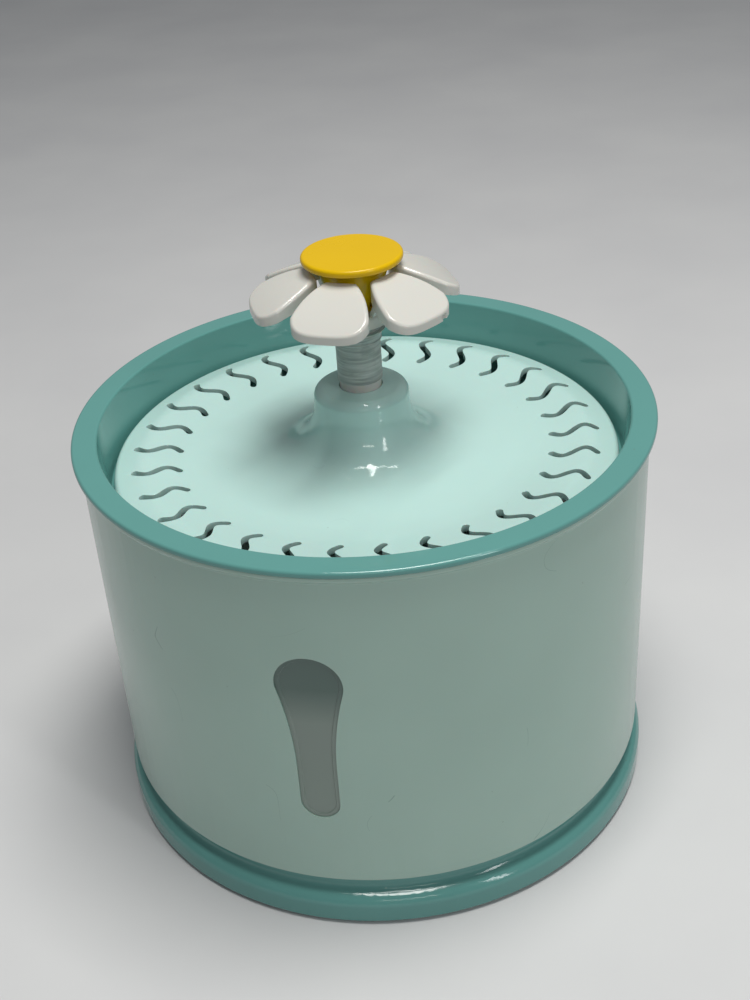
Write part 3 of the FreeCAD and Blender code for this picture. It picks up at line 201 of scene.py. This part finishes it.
def noise(tree, where, millimetres, detail=2.0, distortion=0.0):
    """A cloudy pattern whose lumps have about this size."""
    return node(tree, "TexNoise", {"Vector": where, "Scale": per_metre(millimetres), "Detail": detail,
                                   "Distortion": distortion}).outputs["Fac"]


def blend(tree, share, one, other):
    """Mixes two colours by a share from 0 to 1."""
    return node(tree, "Mix", {0: share, 6: one, 7: other}, data_type="RGBA").outputs[2]


# %% [markdown]
# The shells are ABS, injection moulded in polished tools. To the eye that is an even colour with a
# soft clear gloss, and up close a faint cloudiness, the fine orange peel of the tool, a few hair
# scratches from wiping and some specks of dust. ABS bends light like glass does, with an index of
# about 1.53. Hair scratches follow the contour lines of a slow noise, cut short by a second one.

# %% Moulded plastic
ABS_IOR = 1.53
CLEAR_IOR = 1.49


def hair_marks(tree, where, millimetres, width, share):
    """Thin curved lines, short and few: contour lines of one noise, kept where another is high."""
    contour = noise(tree, where, millimetres, 0.0, 0.5)
    off = node(tree, "Math", {0: contour, 1: 0.5}, operation="SUBTRACT").outputs[0]
    near = node(tree, "Math", {0: off}, operation="ABSOLUTE").outputs[0]
    line = node(tree, "Math", {0: near, 1: width}, operation="LESS_THAN").outputs[0]
    patch = node(tree, "Math", {0: noise(tree, where, millimetres * 0.45, 0.0), 1: 1.0 - share},
                 operation="GREATER_THAN").outputs[0]
    return node(tree, "Math", {0: line, 1: patch}, operation="MULTIPLY").outputs[0]


def specks(tree, where, millimetres, radius):
    """Small dots, one to a cell, as dust lies."""
    cells = node(tree, "TexVoronoi", {"Vector": where, "Scale": per_metre(millimetres)})
    return node(tree, "Math", {0: cells.outputs["Distance"], 1: radius}, operation="LESS_THAN").outputs[0]


def moulded(name, code, roughness, marks=0.0, dust=0.0, glow=0.0, peel=0.004, dark="5B6B66",
             shine=0.5):
    """Polished moulded plastic.

    It has a colour, a roughness, the shares of hair marks, dust and inner glow, the height of its
    orange peel in millimetres, the colour of its marks, and the strength of its shine.
    """
    material, tree, where, output = new_material(name)
    base = linear(code)
    pale = tuple(min(1.0, c * 1.03) for c in base[:3]) + (1.0,)
    deep = tuple(c * 0.96 for c in base[:3]) + (1.0,)
    cloud = noise(tree, where, 45.0, 3.0)
    skin = blend(tree, spread(tree, cloud, 0.25, 0.75, 0.0, 1.0), deep, pale)
    if marks > 0:
        hairs = hair_marks(tree, where, 30.0, 0.0010, 0.30)
        faint = node(tree, "Math", {0: hairs, 1: marks}, operation="MULTIPLY").outputs[0]
        skin = blend(tree, faint, skin, linear(dark))
    if dust > 0:
        dots = specks(tree, where, 11.0, 0.022)
        faint = node(tree, "Math", {0: dots, 1: dust}, operation="MULTIPLY").outputs[0]
        skin = blend(tree, faint, skin, linear("6A6659"))
    smear = noise(tree, where, 16.0, 4.0)
    gloss = spread(tree, smear, 0.3, 0.7, roughness * 0.92, roughness * 1.1)
    skin_bump = node(tree, "Bump", {"Height": noise(tree, where, 2.2, 1.0), "Strength": 0.2,
                                    "Distance": peel * MM}).outputs["Normal"]
    shader = node(tree, "BsdfPrincipled", {"Base Color": skin, "Roughness": gloss, "IOR": ABS_IOR,
                                           "Normal": skin_bump, "Specular IOR Level": shine,
                                           "Subsurface Weight": glow,
                                           "Subsurface Scale": 3.0 * MM})
    tree.links.new(shader.outputs[0], output.inputs[0])
    return material


mint_abs = moulded("mint_abs_polished", "9FBBB0", 0.20, marks=0.35, dust=0.30, glow=0.06)
lid_abs = moulded("mint_abs_glossy_lid", "B6D6D1", 0.10, marks=0.06, dust=0.30, glow=0.06)
teal_abs = moulded("teal_abs_satin", "5D9590", 0.11, marks=0.12, dust=0.35, dark="8FC0B8")
white_abs = moulded("white_abs_polished", "CCCBC5", 0.14, dust=0.25, glow=0.08, dark="9A958C")
yellow_abs = moulded("yellow_abs_satin", "D6AE00", 0.26, marks=0.10, dust=0.30, dark="8A7208",
                      shine=0.25)
cartridge_abs = moulded("white_polypropylene_cartridge", "DADFE0", 0.35, glow=0.25)
pump_abs = moulded("black_abs_pump", "23262A", 0.32, dust=0.15, dark="4A4E52")
rotor_plastic = moulded("white_nylon_impeller", "D8D6CC", 0.38, glow=0.20)
print("moulded plastics", 8)

# %% [markdown]
# The water level shows through a window of smoked clear plastic. Its back is frosted so that the
# lamp and the water line look soft, so the surface is clear and smooth outside and the light that
# passes is blurred. A part of plain grey plastic is mixed in, for the smoke in it. Its upper part is
# darkened towards dark teal, as painted shade for the dark inside of the tank and the tray behind it.

# %% Smoked window


def smoked(name, code, clear, roughness):
    """Clear plastic with smoke in it, blurred by its frosted back, with painted shade towards its top."""
    material, tree, where, output = new_material(name)
    cloud = noise(tree, where, 20.0, 2.0)
    height = node(tree, "SeparateXYZ", {0: where}).outputs[2]
    # Painted shade: from 78 to 90 mm up, the window's colour darkens towards dark teal, for the dark tank
    # inside behind it.
    painted_shade_top = spread(tree, height, 0.078, 0.090, 0.0, 1.0)
    tint = blend(tree, spread(tree, cloud, 0.3, 0.7, 0.2, 0.6), linear(code), linear("8C9A94"))
    tint = blend(tree, node(tree, "Math", {0: painted_shade_top, 1: 0.85}, operation="MULTIPLY").outputs[0], tint,
                 linear("3F625A"))
    bump = node(tree, "Bump", {"Height": noise(tree, where, 0.8, 1.0), "Strength": 0.2,
                               "Distance": 0.004 * MM}).outputs["Normal"]
    shader = node(tree, "BsdfPrincipled", {"Base Color": tint, "Roughness": roughness, "IOR": CLEAR_IOR,
                                           "Normal": bump, "Transmission Weight": clear,
                                           "Coat Weight": 0.6, "Coat Roughness": 0.06})
    tree.links.new(shader.outputs[0], output.inputs[0])
    return material


window_pc = smoked("smoked_clear_window", "879B90", 0.28, 0.28)
print("window", window_pc.name)

# %% [markdown]
# The riser is natural polypropylene, which is milky: light goes in, scatters and comes out again a
# few millimetres away. Subsurface scattering draws that. Silicone and rubber are matt, with a fine
# grain and dust in it. The thread tape is soft white film, wound in many thin layers: its edges show
# as fine level lines, and it is dull with a slight waxy sheen.

# %% Milky tube, rubber and tape


def milky(name, code, roughness, depth):
    """A waxy, milky plastic or silicone."""
    material, tree, where, output = new_material(name)
    cloud = spread(tree, noise(tree, where, 9.0, 3.0), 0.3, 0.7, 0.0, 1.0)
    skin = blend(tree, cloud, linear(code), tuple(c * 0.88 for c in linear(code)[:3]) + (1.0,))
    bump = node(tree, "Bump", {"Height": noise(tree, where, 0.5), "Strength": 0.3,
                               "Distance": 0.01 * MM}).outputs["Normal"]
    shader = node(tree, "BsdfPrincipled", {"Base Color": skin, "Roughness": roughness, "IOR": CLEAR_IOR,
                                           "Normal": bump, "Subsurface Weight": 0.6,
                                           "Subsurface Scale": depth * MM})
    tree.links.new(shader.outputs[0], output.inputs[0])
    return material


def rubber(name, code, roughness, grain):
    """Matt rubber with a fine grain and a breath of dust."""
    material, tree, where, output = new_material(name)
    dust = spread(tree, noise(tree, where, 5.0, 4.0), 0.55, 0.75, 0.0, 0.35)
    skin = blend(tree, dust, linear(code), linear("8D8D88"))
    bump = node(tree, "Bump", {"Height": noise(tree, where, grain), "Strength": 0.5,
                               "Distance": 0.03 * MM}).outputs["Normal"]
    shader = node(tree, "BsdfPrincipled", {"Base Color": skin, "Roughness": roughness, "Normal": bump,
                                           "Sheen Weight": 0.15})
    tree.links.new(shader.outputs[0], output.inputs[0])
    return material


def wound_film(name):
    """White sealing film in thin layers: level edge lines, creases and thin places."""
    material, tree, where, output = new_material(name)
    squeezed = node(tree, "Mapping", {"Vector": where, "Scale": (0.25, 0.25, 3.0)}).outputs[0]
    layers = noise(tree, squeezed, 2.4, 4.0, 0.4)
    fine = noise(tree, squeezed, 0.8, 2.0)
    tone = spread(tree, layers, 0.35, 0.65, 0.0, 1.0)
    skin = blend(tree, tone, linear("8F9693"), linear("B9BEBA"))
    thin = spread(tree, noise(tree, where, 6.0, 3.0), 0.58, 0.66, 0.0, 0.5)
    skin = blend(tree, thin, skin, linear("8B9391"))
    both = node(tree, "Math", {0: layers, 1: fine}, operation="ADD").outputs[0]
    bump = node(tree, "Bump", {"Height": both, "Strength": 0.5, "Distance": 0.06 * MM}).outputs["Normal"]
    shader = node(tree, "BsdfPrincipled", {"Base Color": skin, "Roughness": 0.55, "Normal": bump,
                                           "Subsurface Weight": 0.25, "Subsurface Scale": 1.5 * MM,
                                           "Sheen Weight": 0.2})
    tree.links.new(shader.outputs[0], output.inputs[0])
    return material


tube_pp = milky("natural_polypropylene_tube", "DCD6D2", 0.30, 4.0)
cup_silicone = milky("clear_silicone_cups", "C9D2D2", 0.28, 3.0)
feet_rubber = rubber("black_rubber_feet", "2A2A2B", 0.75, 0.6)
soft_sleeve = rubber("grey_silicone_sleeve", "5D6466", 0.55, 0.5)
lead_pvc = rubber("black_pvc_lead", "1E1F21", 0.45, 0.8)
tape_ptfe = wound_film("white_thread_tape")
print("soft finishes", 6)

# %% [markdown]
# Inside sit the filter's media and the motor. Carbon is a bed of small dull black grains, felt is a
# mat of crossed fibres, and foam is an open net of cells. A Voronoi pattern gives grains and cells,
# and a stretched noise gives fibres. The motor has laminated iron, enamelled copper wire, black
# ferrite, a ceramic shaft and steel screws.

# %% Media and motor


def grained(name, dark, light, millimetres, depth, roughness, feature="F1"):
    """Grains or cells of one size, with painted shade in the gaps between them and painted light on their
    tops.
    """
    material, tree, where, output = new_material(name)
    cells = node(tree, "TexVoronoi", {"Vector": where, "Scale": per_metre(millimetres)}, feature=feature)
    # Painted shade and light: the colour darkens from each cell's raised middle towards its edges, as shade
    # in the gaps.
    share = spread(tree, cells.outputs["Distance"], 0.0, 0.7, 0.0, 1.0)
    skin = blend(tree, share, linear(light), linear(dark))
    bump = node(tree, "Bump", {"Height": cells.outputs["Distance"], "Strength": 0.9,
                               "Distance": depth * MM}, invert=True).outputs["Normal"]
    shader = node(tree, "BsdfPrincipled", {"Base Color": skin, "Roughness": roughness, "Normal": bump})
    tree.links.new(shader.outputs[0], output.inputs[0])
    return material


def fibrous(name, dark, light):
    """A mat of crossed fibres."""
    material, tree, where, output = new_material(name)
    along = node(tree, "Mapping", {"Vector": where, "Scale": (0.2, 1.0, 1.0)}).outputs[0]
    across = node(tree, "Mapping", {"Vector": where, "Scale": (1.0, 0.2, 1.0)}).outputs[0]
    both = node(tree, "Math", {0: noise(tree, along, 0.35), 1: noise(tree, across, 0.35)},
                operation="ADD").outputs[0]
    skin = blend(tree, spread(tree, both, 0.7, 1.3, 0.0, 1.0), linear(dark), linear(light))
    bump = node(tree, "Bump", {"Height": both, "Strength": 0.8, "Distance": 0.2 * MM}).outputs["Normal"]
    shader = node(tree, "BsdfPrincipled", {"Base Color": skin, "Roughness": 0.95, "Normal": bump,
                                           "Sheen Weight": 0.4, "Sheen Roughness": 0.5})
    tree.links.new(shader.outputs[0], output.inputs[0])
    return material


def banded(name, dark, light, millimetres, direction, metal, roughness):
    """Level bands, as of stacked sheets, wound wire or brushed metal."""
    material, tree, where, output = new_material(name)
    wave = node(tree, "TexWave", {"Vector": where, "Scale": per_metre(millimetres) / 6.283,
                                  "Distortion": 0.3, "Detail": 1.0}, bands_direction=direction)
    skin = blend(tree, wave.outputs["Fac"], linear(dark), linear(light))
    bump = node(tree, "Bump", {"Height": wave.outputs["Fac"], "Strength": 0.6,
                               "Distance": 0.1 * MM}).outputs["Normal"]
    shader = node(tree, "BsdfPrincipled", {"Base Color": skin, "Roughness": roughness, "Metallic": metal,
                                           "Normal": bump})
    tree.links.new(shader.outputs[0], output.inputs[0])
    return material


carbon_bed = grained("activated_carbon_bed", "0C0C0D", "3A3A3C", 1.3, 0.5, 0.85)
foam_cells = grained("open_cell_foam", "15181A", "4B5054", 0.9, 0.4, 0.95)
ferrite = grained("black_ferrite", "1B1B1D", "2C2C2F", 0.25, 0.02, 0.5)
ceramic = grained("white_ceramic_shaft", "D6D4CE", "ECEAE4", 0.4, 0.005, 0.15)
felt_mat = fibrous("white_filter_felt", "C4C7C4", "F0F0EC")
core_sheets = banded("laminated_iron_core", "3B3A38", "77746F", 0.5, "Y", 0.85, 0.45)
copper_wire = banded("enamelled_copper_wire", "5A2412", "B7622F", 0.35, "X", 0.7, 0.30)
screw_steel = banded("brushed_steel_screws", "8A8C8E", "C2C4C6", 0.12, "X", 1.0, 0.30)
contact_brass = banded("plated_brass_contact", "A9924E", "D9C27A", 0.15, "Z", 1.0, 0.25)
print("media and motor finishes", 9)

# %% [markdown]
# The tank's lip and foot and the tray's rim are turned shapes that catch long lines of light. A packed
# part has few and uneven faces on its roundings, and such a line would break into dashes on them. So
# these rings are made anew, as on a lathe: a circle is extruded from corner to corner of an outline,
# and its visible edges are bevelled in five steps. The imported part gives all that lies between.

# %% Turned rings
RING_SIDES = 256
ROUNDING_STEPS = 5
WELD = 0.001 * MM


def cut_off(piece, height, above):
    """Cuts a piece at a height and closes the cut."""
    only(piece)
    bpy.ops.object.mode_set(mode="EDIT")
    bpy.ops.mesh.select_all(action="SELECT")
    bpy.ops.mesh.bisect(plane_co=(0.0, 0.0, height * MM), plane_no=(0.0, 0.0, 1.0), use_fill=True,
                        clear_outer=above, clear_inner=not above)
    bpy.ops.object.mode_set(mode="OBJECT")


def turned_ring(name, outline, roundings):
    """Turns a closed outline about the axis and rounds some of its corners.

    A corner is a distance from the axis and a height, and a rounding is a corner's number and its
    bevel's width, all in millimetres.
    """
    bpy.ops.object.select_all(action="DESELECT")
    wide, high = outline[0]
    bpy.ops.mesh.primitive_circle_add(vertices=RING_SIDES, radius=wide * MM, location=(0.0, 0.0, high * MM))
    ring = bpy.context.object
    ring.name = name
    bpy.ops.object.transform_apply(location=True, rotation=True, scale=True)
    bpy.ops.object.mode_set(mode="EDIT")
    for next_wide, next_high in outline[1:] + outline[:1]:
        bpy.ops.mesh.extrude_edges_move()
        wider = next_wide / wide
        bpy.ops.transform.resize(value=(wider, wider, 1.0), center_override=(0.0, 0.0, 0.0))
        bpy.ops.transform.translate(value=(0.0, 0.0, (next_high - high) * MM))
        wide, high = next_wide, next_high
    bpy.ops.mesh.select_all(action="SELECT")
    bpy.ops.mesh.remove_doubles(threshold=WELD)
    bpy.ops.mesh.normals_make_consistent(inside=False)
    for corner, rounding in roundings.items():
        wide, high = outline[corner]
        bpy.ops.mesh.select_all(action="DESELECT")
        net = bmesh.from_edit_mesh(ring.data)
        for vert in net.verts:
            off = math.hypot(vert.co.xy.length - wide * MM, vert.co.z - high * MM)
            vert.select_set(off < 10 * WELD)
        net.select_flush(True)
        bmesh.update_edit_mesh(ring.data)
        bpy.ops.mesh.bevel(offset=rounding * MM, segments=ROUNDING_STEPS, affect="EDGES")
    bpy.ops.object.mode_set(mode="OBJECT")
    print(name, "faces", len(ring.data.polygons))
    return ring


def join_to(piece, ring):
    """Joins a ring to the piece that it belongs to."""
    only(piece)
    ring.select_set(True)
    bpy.ops.object.join()


# %% [markdown]
# The tank is a tub with a flared lip, and its window opening has edges that a finger could feel. They
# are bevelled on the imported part's copy, before its lip and its foot are cut off and turned anew. The
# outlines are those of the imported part, and the cuts lie where its wall is straight.

# %% Tank
LIP_CUT = 126.0
FOOT_CUT = 19.8
tank = joined_copy("tank_shell", "mint_tank")
soften(tank, 0.3, 2, 55.0)
cut_off(tank, LIP_CUT, above=True)
cut_off(tank, FOOT_CUT, above=False)
lip = turned_ring("tank_lip", [(85.5, LIP_CUT), (87.9, LIP_CUT), (87.9, 126.6), (89.4, 128.0), (89.4, 129.4),
                               (85.5, 129.4)], {4: 0.5, 3: 0.4})
foot = turned_ring("tank_foot", [(85.5, FOOT_CUT), (85.5, 17.0), (87.9, 17.0), (87.9, FOOT_CUT)], {2: 0.7})
join_to(tank, lip)
join_to(tank, foot)
finish(tank, "tank_shell", "tank", mint_abs, 35.0)

# %% [markdown]
# The tray's rim is flat with soft corners, and its wall slopes down to the lid. The base has a bead and
# a cove that catch two bright lines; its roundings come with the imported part.

# %% Tray and base
RIM_CUT = 114.5
tray = joined_copy("top_tray", "teal_tray")
cut_off(tray, RIM_CUT, above=True)
rim = turned_ring("tray_rim", [(80.3, RIM_CUT), (82.2, 131.4), (90.0, 131.4), (90.0, 129.5), (85.2, 129.5),
                               (82.88, RIM_CUT)], {1: 0.7, 2: 0.95, 3: 0.45})
join_to(tray, rim)
finish(tray, "top_tray", "tray", teal_abs, 35.0)
base = joined_copy("base_skirt", "teal_base")
finish(base, "base_skirt", "tank", teal_abs, 50.0)

# %% [markdown]
# The window is a plug with a wider face, glued into a step of the wall. Its face has a raised border a
# millimetre wide, which draws a second, paler line inside its outline. The faces that look forwards
# are inset by that width and pushed in a little.

# %% Window
BORDER = 1.1
STEP = 0.35
SLOPE = 0.25
FACE_DEPTH = 0.9
window = joined_copy("level_window", "smoked_window")
face_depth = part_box("level_window")[0][1] + FACE_DEPTH * MM
bpy.ops.object.mode_set(mode="EDIT")
bpy.ops.mesh.select_all(action="DESELECT")
net = bmesh.from_edit_mesh(window.data)
for face in net.faces:
    face.select_set(face.normal.y < -0.9 and face.calc_center_median().y < face_depth)
print("window faces forward", sum(face.select for face in net.faces))
bmesh.update_edit_mesh(window.data)
bpy.ops.mesh.inset(thickness=BORDER * MM, depth=0.0)
bpy.ops.mesh.inset(thickness=SLOPE * MM, depth=-STEP * MM)
bpy.ops.object.mode_set(mode="OBJECT")
soften(window, 0.12, 2, 40.0)
finish(window, "level_window", "tank", window_pc)

# %% [markdown]
# The lid's slots have the softest edges of all, about half a millimetre round, so they look pressed
# rather than cut. The bevel's width is held back where two edges are near each other.

# %% Lid
lid_piece = joined_copy("lid", "mint_lid")
soften(lid_piece, 0.55, 3, 35.0)
finish(lid_piece, "lid", "lid", lid_abs)

# %% [markdown]
# The petals were moulded in one piece with their hub, with thick soft edges. One of them has lost a
# small chip at its outer edge. A chip is what is left when something rounded breaks out, so a small
# ball is stretched along the edge and cut away with a Boolean modifier, and the bevel comes after it.

# %% Flower
CHIP_ANGLE = math.radians(-27.0)
CHIP_SIZE = (1.5, 0.6, 1.1)
CHIP_RISE = Vector((0.0, 0.0, 0.9 * MM))
CHIP_LEAN = 0.3
SAME_DIRECTION = 0.995
petals = joined_copy("petal_crown", "white_petals")
towards = Vector((math.cos(CHIP_ANGLE), math.sin(CHIP_ANGLE)))
near = [v.co for v in petals.data.vertices if v.co.xy.normalized().dot(towards) > SAME_DIRECTION]
tip = max(near, key=lambda point: point.xy.length)
bpy.ops.object.select_all(action="DESELECT")
bpy.ops.mesh.primitive_ico_sphere_add(subdivisions=3, radius=MM, location=tip + CHIP_RISE,
                                      rotation=(0.0, CHIP_LEAN, CHIP_ANGLE + math.pi / 2))
chip = bpy.context.object
chip.scale = CHIP_SIZE
bpy.ops.object.transform_apply(location=True, rotation=True, scale=True)
apply(petals, "chip", "BOOLEAN", object=chip, operation="DIFFERENCE", solver="EXACT")
bpy.data.objects.remove(chip)
soften(petals, 0.35, 3, 50.0)
finish(petals, "petal_crown", "flower", white_abs, 50.0)

# %% [markdown]
# The yellow cap is a disc on a waisted core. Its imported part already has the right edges, so a bevel
# softens only the small corners at its ports.

# %% Cap
cap = joined_copy("flower_cap", "yellow_cap")
soften(cap, 0.2, 2, 35.0)
finish(cap, "flower_cap", "cap", yellow_abs)

# %% [markdown]
# Thread tape is film a tenth of a millimetre thick, pulled tight in many turns. What shows are its
# level wrinkles and its edges, which climb a little with each turn. The sleeve is a cylinder without
# ends, cut into many rings. The upper rings are drawn out to follow the neck, a fine cloudy texture
# pushes the surface in and out, and its material adds the level wrinkles.

# %% Tape
TAPE_SIDES = 144
TAPE_RINGS = 76
TAPE_RADIUS = 6.9 * MM
FLARE_HEIGHT = 7.2 * MM
SAME_HEIGHT = 1e-5
low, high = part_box("thread_tape")
tape_top_radius = (high[0] - low[0]) / 2
tape_height = high[2] - low[2]
bpy.ops.object.select_all(action="DESELECT")
bpy.ops.mesh.primitive_cylinder_add(vertices=TAPE_SIDES, radius=TAPE_RADIUS, depth=tape_height,
                                    end_fill_type="NOTHING", location=(0, 0, (low[2] + high[2]) / 2))
tape = bpy.context.object
tape.name = "white_tape"
bpy.ops.object.transform_apply(location=True, rotation=True, scale=True)
bpy.ops.object.mode_set(mode="EDIT")
bpy.ops.mesh.select_all(action="DESELECT")
net = bmesh.from_edit_mesh(tape.data)
for edge in net.edges:
    upright = abs(edge.verts[0].co.z - edge.verts[1].co.z) > tape_height / 2
    edge.select_set(upright)
bmesh.update_edit_mesh(tape.data)
bpy.ops.mesh.subdivide(number_cuts=TAPE_RINGS)
print("tape rings", TAPE_RINGS, "height mm", round(tape_height / MM, 1))

# %% Flare and wrinkles of the tape
net = bmesh.from_edit_mesh(tape.data)
rings = sorted({round(v.co.z, 6) for v in net.verts})
for ring in rings:
    share = (ring - (high[2] - FLARE_HEIGHT)) / FLARE_HEIGHT
    if share <= 0:
        continue
    bpy.ops.mesh.select_all(action="DESELECT")
    net = bmesh.from_edit_mesh(tape.data)
    for vert in net.verts:
        vert.select_set(abs(vert.co.z - ring) < SAME_HEIGHT)
    net.select_flush(True)
    bmesh.update_edit_mesh(tape.data)
    wider = 1.0 + (tape_top_radius / TAPE_RADIUS - 1.0) * share
    bpy.ops.transform.resize(value=(wider, wider, 1.0), center_override=(0.0, 0.0, ring))
bpy.ops.object.mode_set(mode="OBJECT")
wrinkle = bpy.data.textures.new("tape_wrinkles", "CLOUDS")
wrinkle.noise_scale = 0.9 * MM
wrinkle.noise_depth = 2
apply(tape, "thickness", "SOLIDIFY", thickness=0.28 * MM, offset=-1.0)
apply(tape, "wrinkles", "DISPLACE", texture=wrinkle, texture_coords="LOCAL", strength=0.14 * MM,
      mid_level=0.75)
finish(tape, "thread_tape", "lid", tape_ptfe, 60.0)

# %% [markdown]
# The soft media can't be hard-edged solids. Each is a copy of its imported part, remeshed evenly,
# smoothed, and pushed in and out by a cloud texture: coarse for the bed of carbon grains, fine for
# the felt and the foam.

# %% Filter media and foam
for part, name, body, slot, material, net_size, lump, depth in (
        ("carbon_media", "carbon_bed", "filter", "carbon", carbon_bed, 1.3, 2.2, 0.9),
        ("filter_felt", "felt_ring", "filter", "felt", felt_mat, 1.1, 3.5, 0.4),
        ("prefilter_foam", "foam_sleeve", "foam", "foam", foam_cells, 0.9, 1.6, 0.35)):
    soft = joined_copy(part, name)
    only(soft)
    soft.data.remesh_voxel_size = net_size * MM
    bpy.ops.object.voxel_remesh()
    apply(soft, "worn_edges", "SMOOTH", factor=0.5, iterations=4)
    lumps = bpy.data.textures.new(name + "_lumps", "CLOUDS")
    lumps.noise_scale = lump * MM
    lumps.noise_depth = 1
    apply(soft, "lumps", "DISPLACE", texture=lumps, texture_coords="LOCAL", strength=depth * MM,
          mid_level=1.0)
    finish(soft, part, body, material, 80.0)

# %% [markdown]
# What is left is hidden inside or underneath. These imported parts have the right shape, so they stay,
# and each gets its own finish.

# %% Finishes of the remaining parts
for part, material in {
        "base_screws": screw_steel, "rubber_feet": feet_rubber, "riser_tube": tube_pp,
        "filter_frame": cartridge_abs, "pump_housing": pump_abs, "suction_cups": cup_silicone,
        "pump_cover": pump_abs, "impeller": rotor_plastic, "rotor_magnet": ferrite, "rotor_shaft": ceramic,
        "shaft_bushes": soft_sleeve, "stator_core": core_sheets, "stator_coil": copper_wire,
        "flow_dial": rotor_plastic, "outlet_coupler": soft_sleeve, "power_socket": pump_abs,
        "socket_contact": contact_brass, "lead_gland": soft_sleeve, "pump_lead": lead_pvc}.items():
    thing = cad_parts[part]
    thing.data.materials.clear()
    thing.data.materials.append(material)
print("dressed", 19)

# %% [markdown]
# The stage is a pale floor under a large soft lamp overhead, as in a room with a lit ceiling. The
# floor isn't part of the object. A long narrow lamp in front lifts the shadows and draws a bright line
# along the rim and the base, and another on the right lights that side. The lamps stay at a level at
# which a colour looks as written.

# %% Floor
FLOOR_SIZE = 8.0
floor_paper, tree, where, output = new_material("floor_paper")
tone = spread(tree, noise(tree, where, 120.0, 4.0), 0.3, 0.7, 0.0, 1.0)
skin = blend(tree, tone, linear("CDCDCF"), linear("D4D4D5"))
shader = node(tree, "BsdfPrincipled", {"Base Color": skin, "Roughness": 0.85})
tree.links.new(shader.outputs[0], output.inputs[0])
bpy.ops.object.select_all(action="DESELECT")
bpy.ops.mesh.primitive_plane_add(size=FLOOR_SIZE, location=(0.0, 0.0, 0.0))
floor = bpy.context.object
floor.name = "studio_floor"
floor.data.materials.append(floor_paper)

# %% Lamps


def lamp(name, place, aim, width, height, power, code):
    """A soft box that faces a point: its place, aim and size in metres, its power in watts, its colour."""
    data = bpy.data.lights.new(name, "AREA")
    data.shape = "RECTANGLE"
    data.size = width
    data.size_y = height
    data.energy = power
    data.color = linear(code)[:3]
    box = bpy.data.objects.new(name, data)
    box.location = place
    box.rotation_euler = (Vector(aim) - Vector(place)).to_track_quat("-Z", "Y").to_euler()
    bpy.context.scene.collection.objects.link(box)


lamp("ceiling_box", (0.12, -0.06, 1.15), (0.0, 0.0, 0.1), 0.6, 0.35, 10.6, "FFFEFA")
lamp("front_fill", (0.4, -1.2, 0.8), (0.0, 0.0, 0.08), 0.5, 0.03, 0.8, "FFFBF4")
lamp("right_strip", (0.75, -0.55, 0.62), (0.0, 0.0, 0.05), 0.10, 0.5, 1.4, "FFFFFF")
WORLD_STRENGTH = 0.36
world = bpy.data.worlds.new("studio_world")
bpy.context.scene.world = world
world.use_nodes = True
world.node_tree.nodes["Background"].inputs[0].default_value = linear("BFC3C6")
world.node_tree.nodes["Background"].inputs[1].default_value = WORLD_STRENGTH
